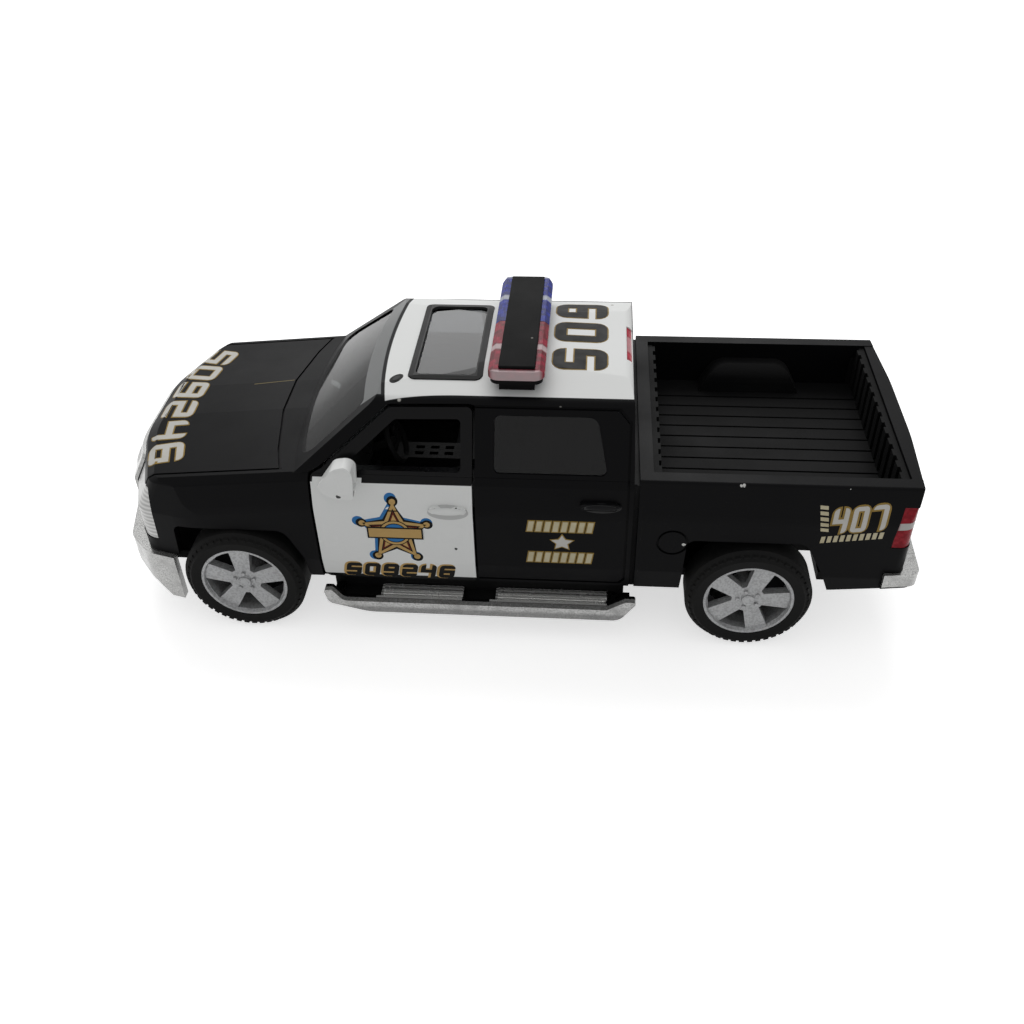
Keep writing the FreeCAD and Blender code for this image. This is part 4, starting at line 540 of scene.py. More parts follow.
def silver_band(tree):
    """The silver band across a tail lamp."""
    x, y, z = object_axes(tree)
    level = calculate(tree, "ADD", z, multiply(tree, x, 0.08))
    return multiply(tree, within(tree, level, 18.9, 20.1), edge_at(tree, x, -57.6, -58.2))


def middle_patch(tree):
    """A soft pale patch in the middle of the high brake lamp."""
    x, y, z = object_axes(tree)
    return multiply(tree, within(tree, y, -2.2, 2.2, edge=0.3), 0.5)


red_plastic = lens_plastic("red_bar_lens", (0.13, 0.002, 0.010), (0.34, 0.005, 0.032),
                           (0.62, 0.52, 0.53), bar_patches)
blue_plastic = lens_plastic("blue_bar_lens", (0.002, 0.006, 0.12), (0.006, 0.022, 0.34),
                            (0.55, 0.58, 0.62), bar_patches)
tail_plastic = lens_plastic("tail_lamp_lens", (0.22, 0.008, 0.015), (0.33, 0.018, 0.028),
                            (0.50, 0.49, 0.47), silver_band, 1500.0)
high_lamp_plastic = lens_plastic("high_lamp_lens", (0.35, 0.01, 0.03), (0.55, 0.03, 0.06),
                                 (0.62, 0.45, 0.46), middle_patch)
print("a lens has", len(red_plastic.node_tree.nodes), "nodes")

# %% [markdown]
# A headlamp is a clear ribbed lens over a bright reflector. The lens is so thin that it is
# finished as bright plating seen through a wavy surface: a Wave texture gives the ribs.

# %% Headlamps
headlamp_silver, tree, shader = new_finish("ribbed_headlamp", 0.5, 0.3, 0.5)
place = object_place(tree)
ribs = add_node(tree, "TexWave", {"Vector": place, "Scale": 420.0, "Distortion": 0.6, "Detail": 1.0},
                bands_direction="Z")
colour = blend_colour(tree, ribs.outputs["Fac"], (0.30, 0.30, 0.295), (0.50, 0.50, 0.49))
coat(tree, shader, colour)
bump = add_node(tree, "Bump", {"Strength": 0.5, "Distance": mm(0.05), "Height": ribs.outputs["Fac"]})
tree.links.new(bump.outputs[0], shader.inputs["Normal"])
print("headlamp:", len(tree.nodes), "nodes")

# %% [markdown]
# Now every casting gets its finish, by its node's name. A node's object has one material slot
# for each of its materials, and each is given the same finish.

# %% Finish the castings
FINISHES = [
    (body_paint, "body_shell tailgate"),
    (door_paint, "door_left door_right"),
    (screen_plastic, "windshield"),
    (dark_plastic, "rear_window rear_side_glass_left rear_side_glass_right"),
    (roof_plastic, "sunroof_glass"),
    (ring_plastic, "sunroof_frame"),
    (trim_plastic, "grille_insert rear_valance"),
    (bed_plastic, "bed_liner"),
    (headlamp_silver, "headlamp_left headlamp_right"),
    (plating, "front_grille front_bumper rear_bumper"),
    (board_plating, "running_board_left running_board_right"),
    (tail_plastic, "tail_lamp_left tail_lamp_right"),
    (high_lamp_plastic, "brake_lamp_high"),
    (red_plastic, "light_bar_lens_red"),
    (blue_plastic, "light_bar_lens_blue"),
    (bar_plastic, "light_bar_base light_bar_cover"),
    (base_plastic, "base_plate pull_back_motor"),
    (cabin_plastic, "cabin_tub dashboard steering_wheel seat_front_left seat_front_right rear_bench"),
    (axle_steel, "axle_front axle_rear"),
    (rim_plastic, "rim_front_left rim_front_right rim_rear_left rim_rear_right"),
    (tyre_rubber, "tyre_front_left tyre_front_right tyre_rear_left tyre_rear_right"),
]


def paint(thing, material):
    """Gives an object one finish in all its material slots."""
    if not thing.material_slots:
        thing.data.materials.append(material)
    for slot in thing.material_slots:
        slot.material = material


finished = [(node, material) for material, nodes in FINISHES for node in nodes.split()]
for node, material in finished:
    paint(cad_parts[node], material)
print("finished", len(finished), "of", len(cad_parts), "nodes")

# %% [markdown]
# The castings carry small things that are too fine for the CAD model: printed markings, the
# tyres' shoulder lugs, wheel nuts, door grips and the keys of the console. They are modelled
# as by hand. A primitive is added, shaped in edit mode and finished with applied modifiers. The
# helpers below keep the selection in order and leave each piece's place in its mesh. Some make
# the blocks and cylinders that most pieces start from, and inset and sink their ends.

# %% Modelling helpers
def start(action, **options):
    """Deselects everything, adds a primitive and returns it."""
    bpy.ops.object.select_all(action="DESELECT")
    action(**options)
    return bpy.context.object


def pick(*things):
    """Selects pieces and nothing else; the first one is the active one."""
    bpy.ops.object.select_all(action="DESELECT")
    for thing in things:
        thing.select_set(True)
    bpy.context.view_layer.objects.active = things[0]


def block(name, middle, lengths):
    """A block of some lengths round its middle, in millimetres."""
    piece = start(bpy.ops.mesh.primitive_cube_add, size=1, location=mm(*middle))
    piece.scale = mm(*lengths)
    piece.name = name
    return settle(piece)


def round_block(sides, radius, depth, spot=(0, 0, 0)):
    """A cylinder along the Y axis, in millimetres."""
    piece = start(bpy.ops.mesh.primitive_cylinder_add, vertices=sides, radius=mm(radius),
                  depth=mm(depth), location=mm(*spot))
    piece.rotation_euler = (math.pi / 2, 0, 0)
    return settle(piece)


def inset_end(thing, direction, *steps):
    """Insets the end that looks in a direction; a step is its border and how far it rises."""
    direction = Vector(direction)
    choose(thing, lambda face: face.normal.dot(direction) > 0.9, faces=True)
    for border, rise in steps:
        bpy.ops.mesh.inset(thickness=mm(border))
        bpy.ops.transform.translate(value=mm(rise) * direction)
    bpy.ops.object.mode_set(mode="OBJECT")


def set_round(thing, count):
    """Repeats a piece all round the Y axis, by the Spin operator with duplicates."""
    pick(thing)
    bpy.ops.object.mode_set(mode="EDIT")
    bpy.ops.mesh.select_all(action="SELECT")
    bpy.ops.mesh.spin(steps=count - 1, angle=2 * math.pi * (count - 1) / count, dupli=True,
                      center=(0, 0, 0), axis=(0, 1, 0))
    bpy.ops.object.mode_set(mode="OBJECT")


def choose(thing, test, faces=False):
    """Selects the vertices, or the faces, of a piece that pass a test, and nothing else."""
    for part in (*thing.data.vertices, *thing.data.edges, *thing.data.polygons):
        part.select = False
    for part in thing.data.polygons if faces else thing.data.vertices:
        part.select = test(part)
    pick(thing)
    bpy.context.tool_settings.mesh_select_mode = (not faces, False, faces)
    bpy.ops.object.mode_set(mode="EDIT")


def settle(thing, place=None):
    """Puts a piece in its place and moves that place into its mesh."""
    pick(thing)
    if place is not None:
        thing.matrix_world = place
    bpy.ops.object.transform_apply(location=True, rotation=True, scale=True)
    return thing


def modify(thing, kind, **options):
    """Adds a modifier and applies it."""
    pick(thing)
    modifier = thing.modifiers.new(kind.title(), kind)
    for option, choice in options.items():
        setattr(modifier, option, choice)
    bpy.ops.object.modifier_apply(modifier=modifier.name)


def bevel(thing, width, segments=2):
    """Rounds the sharp edges of a piece by a width in millimetres."""
    modify(thing, "BEVEL", width=mm(width), segments=segments, limit_method="ANGLE")


def join(name, things):
    """Joins pieces into the first one."""
    pick(*things)
    if len(things) > 1:
        bpy.ops.object.join()
    things[0].name = name
    return things[0]


def copy_of(thing, place):
    """A copy with its own mesh, in its own place."""
    twin = thing.copy()
    twin.data = thing.data.copy()
    scene.collection.objects.link(twin)
    return settle(twin, place)


def stand(piece, material, body):
    """Gives a finished piece its material and the body that it rides on."""
    paint(piece, material)
    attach(piece, body)
    return piece


def facing(reading, upward, spot=(0, 0, 0), turn=0.0):
    """The place of a flat mark: the way it reads, its upward side and its middle in millimetres."""
    reading, upward = Vector(reading), Vector(upward)
    turned = Matrix((reading, upward, reading.cross(upward))).transposed().to_4x4()
    return Matrix.Translation(mm(*spot)) @ turned @ Matrix.Rotation(math.radians(turn), 4, "Z")


# %% [markdown]
# The tyres have a row of low lugs round each shoulder. One lug is a box whose outer end is
# drawn in. Spin sets it all round the tyre, and a turned copy makes the inner row. The lugs
# fill the shoulder's chamfer and don't pass the tread, so the toy keeps its height. A helper
# sets a copy of the pattern at each wheel.

# %% Shoulder lugs
LUGS = 44
FRONT_AXLE, WHEELBASE, AXLE_HEIGHT = 41.2, 79.2, 9.7
AXLES = {"front": FRONT_AXLE, "rear": FRONT_AXLE - WHEELBASE}
TYRE_MIDDLE = 20.7
LUG_OUT, LUG_UP = 22.95, 8.86


def at_each_wheel(pattern, name, material, out=0.0, rear_turn=0.0):
    """Sets a copy at each wheel, some way out along the axle, and removes the pattern."""
    for end, x in AXLES.items():
        for side, turned in (("left", 0.0), ("right", math.pi)):
            spun = math.radians(rear_turn if end == "rear" else 0)
            place = (Matrix.Translation(mm(x, 0, AXLE_HEIGHT)) @ Matrix.Rotation(turned, 4, "Z")
                     @ Matrix.Rotation(spun, 4, "Y") @ Matrix.Translation(mm(0, out, 0)))
            piece = copy_of(pattern, place)
            piece.name = f"{name}_{end}_{side}"
            stand(piece, material, f"{end}_wheels")
    bpy.data.objects.remove(pattern)
    return piece


lug = block("lug", (0, LUG_OUT, LUG_UP), (0.8, 1.3, 1.3))
choose(lug, lambda vertex: vertex.co.y > mm(LUG_OUT) and vertex.co.z > mm(LUG_UP))
bpy.ops.transform.translate(value=(0, 0, mm(-0.45)))
bpy.ops.object.mode_set(mode="OBJECT")
set_round(lug, LUGS)
turned_about = Matrix.Translation(mm(0, 2 * TYRE_MIDDLE, 0)) @ Matrix.Rotation(math.pi, 4, "Z")
pattern = join("lugs", [lug, copy_of(lug, turned_about)])
lugs = at_each_wheel(pattern, "tyre_lugs", tyre_rubber)
print(LUGS, "lugs round each shoulder,", len(lugs.data.polygons), "faces a tyre")

# %% [markdown]
# Each rim shows five wheel nuts and a centre cap, moulded as low domes. A nut is a six-sided
# cylinder with a bevelled top, set five times by Spin. The cap is a round disc with an inset
# middle that is pushed in a little.

# %% Wheel nuts and caps
NUTS = 5
nut = round_block(6, 0.36, 0.5, (0, 0, 1.62))
bevel(nut, 0.1)
set_round(nut, NUTS)
cap = round_block(40, 1.0, 0.56)
inset_end(cap, (0, 1, 0), (0.3, -0.12), (0.16, 0.1))
bevel(cap, 0.08)
nuts = at_each_wheel(join("nuts", [cap, nut]), "wheel_nuts", rim_plastic, out=23.22,
                     rear_turn=18)
print("nuts and cap:", len(nuts.data.polygons), "faces a wheel")

# %% [markdown]
# The markings are printed on the toy in layers: gold first, then black or white on top, each a
# few hundredths of a millimetre thick. A layer is a flat shape that is sliced into small faces,
# laid on the casting with a Shrinkwrap modifier and given its thickness. So it follows the
# curve of the roof, hood or door. The markings are made of plain numbers, slanted bars and
# plain stars.

# %% Printed layers
PRINT_GAP = mm(0.03)
Y_AXIS, Z_AXIS = 1, 2
ABOVE, BESIDE = 60, 40
FROM_BEHIND = ((0, -1, 0), (1, 0, 0))
FROM_FRONT = ((0, 1, 0), (-1, 0, 0))
# The way a mark reads on each side of the toy, and the sign of that side's Y
SIDES = {"left": ((-1, 0, 0), 1), "right": ((1, 0, 0), -1)}
# The casting of each body that carries prints, and the slot of its paint
CARRIERS = {"body": ("body_shell", "body_paint"), "door_left": ("door_left", "door_paint"),
            "door_right": ("door_right", "door_paint")}


def ink(name, colour, worn):
    """A printing ink with fine wear."""
    material, tree, shader = new_finish(name, colour, 0.4, Specular_IOR_Level=0.06)
    surface = roughen(tree, shader, 0.3, 0.5, scale=2600.0, patch=420.0, height=0.05)
    wear = multiply(tree, surface.outputs["Dull"], 0.5)
    coat(tree, shader, blend_colour(tree, wear, colour, worn))
    return material


gold_ink = ink("gold_ink", (0.30, 0.20, 0.055), (0.19, 0.13, 0.045))
tan_ink = ink("tan_ink", (0.52, 0.34, 0.13), (0.42, 0.28, 0.12))
black_ink = ink("black_ink", 0.005, (0.014, 0.013, 0.010))
white_ink = ink("white_ink", (0.56, 0.55, 0.52), (0.46, 0.44, 0.38))
cream_ink = ink("cream_ink", (0.56, 0.51, 0.36), (0.40, 0.34, 0.20))
blue_ink = ink("blue_ink", (0.035, 0.17, 0.42), (0.05, 0.16, 0.33))
grey_ink = ink("grey_ink", 0.045, 0.03)
brown_ink = ink("brown_ink", (0.11, 0.02, 0.012), (0.08, 0.02, 0.012))
# This ink is painted shade for the finger recesses under the door grips.
recess_shade_ink = ink("handle_recess_painted_shade", (0.50, 0.505, 0.50), (0.58, 0.585, 0.58))
white_enamel = ink("white_grip_enamel", (0.77, 0.78, 0.77), (0.70, 0.71, 0.70))
black_enamel = ink("black_grip_enamel", (0.006, 0.006, 0.007), 0.02)


def on_side(side, x, z, turn=0.0):
    """The place of a mark beside the left or right side of the toy."""
    reading, sign = SIDES[side]
    return facing(reading, (0, 0, 1), (x, sign * BESIDE, z), turn)


def slice_up(flat, pitch):
    """Cuts a flat shape into strips both ways, so that it can bend."""
    corners = [vertex.co for vertex in flat.data.vertices]
    pick(flat)
    bpy.ops.object.mode_set(mode="EDIT")
    for axis in range(3):
        low = min(corner[axis] for corner in corners)
        high = max(corner[axis] for corner in corners)
        normal = [0.0, 0.0, 0.0]
        normal[axis] = 1.0
        for step in range(1, math.ceil((high - low) / pitch)):
            spot = [0.0, 0.0, 0.0]
            spot[axis] = low + step * pitch
            bpy.ops.mesh.select_all(action="SELECT")
            bpy.ops.mesh.bisect(plane_co=spot, plane_no=normal)
    bpy.ops.object.mode_set(mode="OBJECT")


def lay_on(flat, node, axis, level, pitch=mm(0.9), wall=mm(0.03)):
    """Lays a flat shape on a casting along an axis: level 1 is the lowest print."""
    slice_up(flat, pitch)
    corners = [vertex.co[axis] for vertex in flat.data.vertices]
    outward = 1 if sum(corners) > 0 else -1
    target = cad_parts[node]
    modify(flat, "SHRINKWRAP", target=target, wrap_method="PROJECT", offset=level * PRINT_GAP,
           use_project_x=False, use_project_y=axis == 1, use_project_z=axis == 2,
           use_negative_direction=outward > 0, use_positive_direction=outward < 0)
    modify(flat, "SOLIDIFY", thickness=wall, offset=-1)
    return flat


# Cells that stay in each block figure, from the top row down: three columns by five rows
COLUMNS, ROWS = 3, 5
FIGURES = {
    "0": ("###", "# #", "# #", "# #", "###"), "2": ("###", "  #", "###", "#  ", "###"),
    "4": ("# #", "# #", "###", "  #", "  #"), "5": ("###", "#  ", "###", "  #", "###"),
    "6": ("###", "#  ", "###", "# #", "###"), "7": ("###", "  #", "  #", "  #", "  #"),
    "9": ("###", "# #", "###", "  #", "###"),
}


def figure(symbol, width, height, stroke, edge=0.0, slant=0.0):
    """A block figure: a grid of cells whose empty ones are deleted, with rounded outer corners."""
    flat = start(bpy.ops.mesh.primitive_grid_add, x_subdivisions=COLUMNS, y_subdivisions=ROWS, size=2)
    wide, high = width / 2 + edge, height / 2 + edge
    thick = stroke + 2 * edge
    columns = [-wide, -wide + thick, wide - thick, wide]
    rows = [-high, -high + thick, -thick / 2, thick / 2, high - thick, high]
    for vertex in flat.data.vertices:
        column = round((vertex.co.x + 1) / 2 * COLUMNS)
        row = round((vertex.co.y + 1) / 2 * ROWS)
        vertex.co = mm(columns[column], rows[row], 0)

    def empty(face):
        column = sum(face.center.x > mm(line) for line in columns[1:-1])
        row = sum(face.center.y > mm(line) for line in rows[1:-1])
        return FIGURES[symbol][ROWS - 1 - row][column] == " "

    def outer_corner(vertex):
        return all(abs(abs(place) - mm(end)) < 1e-6 for place, end in zip(vertex.co.xy, (wide, high)))

    choose(flat, empty, faces=True)
    bpy.ops.mesh.delete(type="FACE")
    bpy.ops.object.mode_set(mode="OBJECT")
    choose(flat, outer_corner)
    bpy.ops.mesh.bevel(offset=mm(0.9 * thick), segments=4, affect="VERTICES", clamp_overlap=False)
    bpy.ops.object.mode_set(mode="OBJECT")
    for vertex in flat.data.vertices:
        vertex.co.x += slant * vertex.co.y
    return flat


def figures(text, width, height, pitch, stroke, edge=0.0, slant=0.0):
    """A row of block figures round the origin, as a list of flat shapes."""
    row = []
    for number, symbol in enumerate(text):
        place = Matrix.Translation(mm((number - (len(text) - 1) / 2) * pitch, 0, 0))
        row.append(settle(figure(symbol, width, height, stroke, edge, slant), place))
    return row


def bars(count, width, height, pitch, slant):
    """A row of slanted bars as a flat shape round the origin."""
    flat = start(bpy.ops.mesh.primitive_plane_add, size=1)
    flat.scale = (mm(width), mm(height), 1)
    settle(flat)
    choose(flat, lambda vertex: vertex.co.y > 0)
    bpy.ops.transform.translate(value=(mm(slant), 0, 0))
    bpy.ops.object.mode_set(mode="OBJECT")
    modify(flat, "ARRAY", count=count, use_relative_offset=False, use_constant_offset=True,
           constant_offset_displace=(mm(pitch), 0, 0))
    return settle(flat, Matrix.Translation(mm(-(count - 1) * pitch / 2 - slant / 2, 0, 0)))


def oblong(width, height):
    """A flat rectangle round the origin."""
    flat = start(bpy.ops.mesh.primitive_plane_add, size=1)
    flat.scale = (mm(width), mm(height), 1)
    return settle(flat)


def disc(radius, spot=(0, 0), sides=32):
    """A flat disc."""
    return start(bpy.ops.mesh.primitive_circle_add, vertices=sides, radius=mm(radius),
                 fill_type="NGON", location=mm(*spot, 0))


def oval(radius, wide, high):
    """A flat disc that is drawn wide and high."""
    flat = disc(radius)
    flat.scale = (wide, high, 1)
    return flat


def star(wide, high, waist):
    """A flat five-point star with one point up."""
    flat = start(bpy.ops.mesh.primitive_circle_add, vertices=10, radius=1, fill_type="NGON")
    choose(flat, lambda vertex: 30 < math.degrees(math.atan2(vertex.co.x, vertex.co.y)) % 72 < 42)
    bpy.ops.transform.resize(value=(waist, waist, 1), center_override=(0, 0, 0))
    bpy.ops.mesh.select_all(action="SELECT")
    bpy.ops.mesh.quads_convert_to_tris()
    bpy.ops.object.mode_set(mode="OBJECT")
    flat.scale = (mm(wide), mm(high), 1)
    return settle(flat)


def printed(name, shapes, place, axis, level, material, body="body", **lay):
    """Joins flat shapes, puts them over a casting and lays them on it."""
    node, slot = CARRIERS[body]
    flat = join(name, [settle(shape) for shape in shapes])
    settle(flat, place)
    lay_on(flat, node, axis, level, **lay)
    return stand(flat, material, body)


print("eleven inks and enamels, and", len(FIGURES), "block figures")

# %% [markdown]
# The roof carries three digits that read from behind the toy, with square black figures on a
# thin gold edge, and a small oval mark in front of the sunroof.

# %% Roof number
ROOF_X = -11.1
for symbol, y in (("5", 5.6), ("0", -2.4), ("9", -9.8)):
    place = facing(*FROM_BEHIND, (ROOF_X, y, ABOVE))
    for shade, edge, level, material in (("gold", 0.2, 1, gold_ink), ("black", 0.0, 2, black_ink)):
        printed(f"roof_figure_{shade}_{symbol}", [figure(symbol, 5.7, 8.1, 1.75, edge)], place, Z_AXIS,
                level, material)
place = facing(*FROM_FRONT, (15.9, 11.1, ABOVE), -35)
printed("roof_oval_black", [oval(1.0, 1.25, 0.8)], place, Z_AXIS, 1, black_ink, pitch=mm(0.4))
mark = printed("roof_oval_grey", [oval(0.5, 1.3, 0.8)], place, Z_AXIS, 2, grey_ink, pitch=mm(0.3))
print("roof marks laid at", round(1000 * mark.data.vertices[0].co.z, 1), "mm above the ground")

# %% [markdown]
# Along the front of the hood stand six white figures with a gold edge. They follow the hood's
# curved front edge, so each one has its own place and a small turn, and they read from in
# front of the toy.

# %% Hood number
HOOD_FIGURES = [
    ("5", 52.6, -14.4, -14), ("0", 53.8, -8.9, -8), ("9", 54.3, -3.2, -3),
    ("2", 54.4, 2.6, 2), ("4", 54.1, 8.4, 8), ("6", 52.9, 14.2, 14),
]
for shade, edge, level, material in (("gold", 0.22, 1, gold_ink), ("white", 0.0, 2, white_ink)):
    shapes = []
    for symbol, x, y, turn in HOOD_FIGURES:
        place = facing(*FROM_FRONT, (x, y, ABOVE), turn)
        shapes.append(settle(figure(symbol, 4.6, 5.6, 1.1, edge, 0.1), place))
    printed(f"hood_number_{shade}", shapes, Matrix(), Z_AXIS, level, material)
print("hood number:", len(HOOD_FIGURES), "figures")

# %% [markdown]
# Each door has a plain five-point star with round tips, a blue ring and a blank banner, and a
# row of figures below it. The star is built from rising layers, each a little smaller than the
# one below, as a printer would lay one colour over another.

# %% Door star and number
STAR_X, STAR_Z, SHIFT = 16.2, 20.1, 0.28
STAR_RISE, STAR_WALL = 0.35, mm(0.01)


def tipped_star(wide, high, waist, ball):
    """A star with a disc at each point."""
    angles = [math.radians(72 * k) for k in range(5)]
    tips = [(wide * math.sin(angle), high * math.cos(angle)) for angle in angles]
    return [star(wide, high, waist)] + [disc(ball, tip, 20) for tip in tips]


for side in SIDES:
    body = f"door_{side}"
    middle = on_side(side, STAR_X, STAR_Z)
    layers = [
        ("blue", lambda: tipped_star(5.5, 6.1, 0.56, 0.92), blue_ink),
        ("black", lambda: tipped_star(5.3, 5.9, 0.55, 0.86), black_ink),
        ("tan", lambda: tipped_star(5.2, 5.8, 0.48, 0.5), tan_ink),
        ("inner_black", lambda: [star(4.2, 4.7, 0.44)], black_ink),
        ("inner_brown", lambda: [star(3.8, 4.25, 0.44)], brown_ink),
        ("inner_tan", lambda: [star(3.2, 3.6, 0.44)], tan_ink),
        ("ring_black", lambda: [disc(2.45)], black_ink),
        ("ring_tan", lambda: [disc(2.3)], tan_ink),
        ("ring_line", lambda: [disc(1.9)], black_ink),
        ("ring_blue", lambda: [disc(1.75)], blue_ink),
        ("banner_black", lambda: [oblong(8.6, 2.25)], black_ink),
        ("banner_tan", lambda: [oblong(8.1, 1.72)], tan_ink),
    ]
    for number, (shade, shapes, material) in enumerate(layers, start=1):
        place = on_side(side, STAR_X + SHIFT, STAR_Z + SHIFT) if shade == "blue" else middle
        printed(f"{body}_star_{shade}", shapes(), place, Y_AXIS, STAR_RISE * number, material, body,
                wall=STAR_WALL)
    for shade, edge, level, material, x, z in (("gold", 0.18, 1, tan_ink, 16.3, 12.25),
                                               ("black", 0.0, 2, black_ink, 16.1, 12.15)):
        shapes = figures("509246", 2.45, 3.0, 2.95, 0.75, edge, 0.2)
        printed(f"{body}_number_{shade}", shapes, on_side(side, x, z), Y_AXIS, level, material, body,
                pitch=mm(0.6))
print("star layers:", len(layers), "a door")

# %% [markdown]
# The doors' handles are cast as plain bars. A rounded grip lies over each one, and below it a
# printed oval is painted shade of the finger recess: mid grey on the white doors, dark grey on
# the black rear doors. The grip is a sphere drawn long and flat.

# %% Door handles
HANDLES = [
    # Name, x, painted recess shade (z, width, height, ink) and grip (z, y, enamel)
    ("door", 7.9, (24.35, 3.1, 1.35, recess_shade_ink), (24.9, 22.55, white_enamel)),
    ("rear", -14.9, (26.0, 3.0, 0.95, grey_ink), (26.4, 22.2, black_enamel)),
]


def grip(name, x, y, z, material, body):
    """A long rounded grip on a door's skin."""
    piece = start(bpy.ops.mesh.primitive_uv_sphere_add, segments=24, ring_count=12, radius=1)
    piece.scale = mm(2.95, 0.62, 0.62)
    settle(piece, Matrix.Translation(mm(x, y, z)) @ Matrix.Diagonal((*piece.scale, 1)))
    bpy.ops.object.shade_smooth()
    piece.name = name
    return stand(piece, material, body)


for side, (reading, sign) in SIDES.items():
    for name, x, (recess_shade_z, wide, high, shadow), (grip_z, grip_y, enamel) in HANDLES:
        body = f"door_{side}" if name == "door" else "body"
        # Painted shade: a grey oval where the finger recess lies under the grip.
        printed(f"{name}_handle_recess_shade_{side}", [oval(1.0, wide, high)], on_side(side, x, recess_shade_z), Y_AXIS, 1,
                shadow, body, pitch=mm(0.5))
        grip(f"{name}_handle_grip_{side}", x, sign * grip_y, grip_z, enamel, body)
print(2 * len(HANDLES), "door handles")

# %% [markdown]
# Behind the spokes a rim is dark: there the toy has a hollow drum. A thin disc with an inset
# and sunken middle closes each wheel's back, so that no light comes through the windows.

# %% Wheel drums
drum = round_block(48, 6.6, 0.14)
inset_end(drum, (0, 1, 0), (0.9, -0.05), (2.6, 0.04))
back = at_each_wheel(drum, "wheel_drum", trim_plastic, out=18.22)
print("wheel drums:", len(back.data.polygons), "faces each")

# %% [markdown]
# On top of the light bar lies a dark pad with rounded edges. The pad is a bevelled block whose
# underside lies on the lenses. It stands for the plain cover of the CAD model.

# %% Light bar pad
pad = block("light_bar_pad", (-2.2, 0, 44.65), (5.3, 28.0, 0.5))
bevel(pad, 0.22, segments=4)
pick(pad)
bpy.ops.object.shade_smooth_by_angle(angle=math.radians(35))
stand(pad, bar_plastic, "body")
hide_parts("light_bar_cover")
print("light bar pad", [round(1000 * v, 1) for v in pad.dimensions], "mm")

# %% [markdown]
# At the tailgate's two ends the real toy's bed is closed. A narrow upright strip, a bevelled
# block, closes the slit there, so that no lamp shows from inside the bed.

# %% Bed corner strips
for side, (reading, sign) in SIDES.items():
    strip = block(f"bed_corner_strip_{side}", (-58.6, sign * 18.62, 23.2), (2.6, 0.14, 9.6))
    bevel(strip, 0.05)
    stand(strip, bed_plastic, "body")
print("bed corner strips", [round(1000 * v, 1) for v in strip.dimensions], "mm")

# %% [markdown]
# Between the front seats stands a console with six square keys. The console is a block whose
# top is inset and sunk, and the keys are small bevelled blocks that stand in two rows.

# %% Console
console = block("centre_console", (13.4, 0, 15.6), (11.0, 4.2, 7.6))
inset_end(console, (0, 0, 1), (0.35, -0.25))
bevel(console, 0.18)
stand(console, grey_ink, "body")
keys = []
for x in (10.6, 13.1, 15.6):
    for y in (-0.85, 0.85):
        key = block("key", (x, y, 19.35), (1.7, 1.1, 0.5))
        bevel(key, 0.12)
        keys.append(key)
stand(join("console_keys", keys), trim_plastic, "body")
print("console with", len(keys), "keys")

# %% [markdown]
# The rear doors carry two rows of slanted cream bars with a small star between them, and the
# sides of the load bed a number with a row of bars below and one upright beside it. The marks
# on the bed rise a little towards the tail.

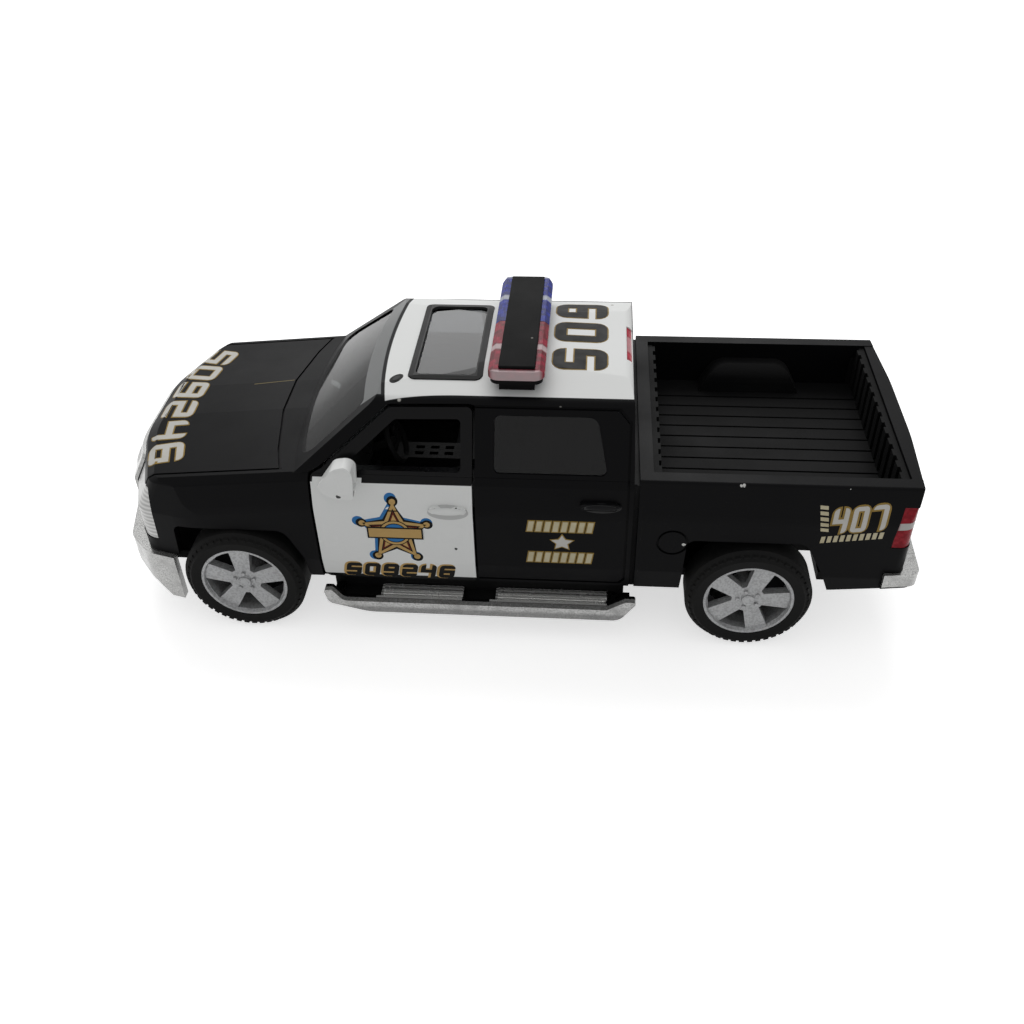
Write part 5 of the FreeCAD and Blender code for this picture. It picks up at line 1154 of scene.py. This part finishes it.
# %% Side markings
BAR_HEIGHT, BAR_RIM = 1.9, 0.4
for side, (reading, sign) in SIDES.items():
    for number, z in enumerate((22.3, 16.2)):
        place = on_side(side, -8.9, z)
        rim, row = bars(8, 1.15, BAR_HEIGHT + BAR_RIM, 1.27, 0.35), bars(8, 0.8, BAR_HEIGHT, 1.27, 0.3)
        printed(f"rear_door_bars_gold_{side}_{number}", [rim], place, Y_AXIS, 1, gold_ink)
        printed(f"rear_door_bars_cream_{side}_{number}", [row], place, Y_AXIS, 2, cream_ink)
    place = on_side(side, -9.2, 19.2)
    printed(f"rear_door_star_gold_{side}", [star(2.0, 1.75, 0.52)], place, Y_AXIS, 1, gold_ink)
    printed(f"rear_door_star_white_{side}", [star(1.7, 1.45, 0.50)], place, Y_AXIS, 2, white_ink)
    rise = sign * 8
    place = on_side(side, -52.2, 25.3, rise)
    for shade, edge, level, material in (("gold", 0.3, 1, gold_ink), ("white", 0.0, 2, white_ink)):
        printed(f"bed_number_{shade}_{side}", figures("407", 2.2, 4.2, 2.75, 0.7, edge, 0.2), place,
                Y_AXIS, level, material, pitch=mm(0.6))
    printed(f"bed_bars_{side}", [bars(10, 0.6, 1.2, 0.92, 0.25)], on_side(side, -51.6, 22.0, rise),
            Y_AXIS, 1, cream_ink)
    printed(f"bed_upright_bars_{side}", [bars(5, 0.6, 1.15, 0.95, 0.25)],
            on_side(side, -47.2, 25.2, rise + 90), Y_AXIS, 1, cream_ink)
print("side markings on both sides")

# %% [markdown]
# Floor and light: a wide pale floor under one large soft lamp from above, as on a photographer's
# table. The world is white for the camera and for reflections, and dimmer as a source of light,
# so the backdrop is white while the paint keeps its own level.

# %% Floor
def seen_directly(tree):
    """1 for rays from the camera, mirrored rays and rays through clear plastic."""
    path = add_node(tree, "LightPath")
    bent = calculate(tree, "MAXIMUM", path.outputs["Is Glossy Ray"], path.outputs["Is Transmission Ray"])
    return calculate(tree, "MAXIMUM", path.outputs["Is Camera Ray"], bent)


floor = start(bpy.ops.mesh.primitive_plane_add, size=6, location=(0, 0, cad_low[2] - mm(0.02)))
floor.name = "floor"
bpy.ops.object.transform_apply(location=True)
floor_card, tree, shader = new_finish("pale_card", 0.86, 0.9)
shader.inputs["Emission Color"].default_value = (1, 1, 1, 1)
tree.links.new(multiply(tree, seen_directly(tree), 0.62), shader.inputs["Emission Strength"])
paint(floor, floor_card)
floor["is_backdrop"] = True

# %% World and lamps
world = bpy.data.worlds.new("studio")
scene.world = world
world.use_nodes = True
sky = world.node_tree
strength = add_node(sky, "MapRange", {0: seen_directly(sky), 3: 0.5, 4: 1.0})
sky.links.new(strength.outputs[0], sky.nodes["Background"].inputs["Strength"])
sky.nodes["Background"].inputs["Color"].default_value = (1, 1, 1, 1)


def soft_lamp(name, place, size, watts):
    """A square area lamp that points at the toy."""
    light = bpy.data.lights.new(name, "AREA")
    light.size = size
    light.energy = watts
    lamp = bpy.data.objects.new(name, light)
    scene.collection.objects.link(lamp)
    lamp.location = place
    lamp.rotation_euler = (-place).to_track_quat("-Z", "Y").to_euler()
    return lamp


lamp = soft_lamp("window_lamp", Vector((0.05, -0.45, 0.5)), 0.5, 2.4)
scene.view_settings.view_transform = "Standard"
print(lamp.name, "of", round(lamp.data.energy, 1), "W")

# %% Finish
low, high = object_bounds()
print("grown by", [round(1000 * v, 2) for v in (*(cad_low - low), *(high - cad_high))], "mm")
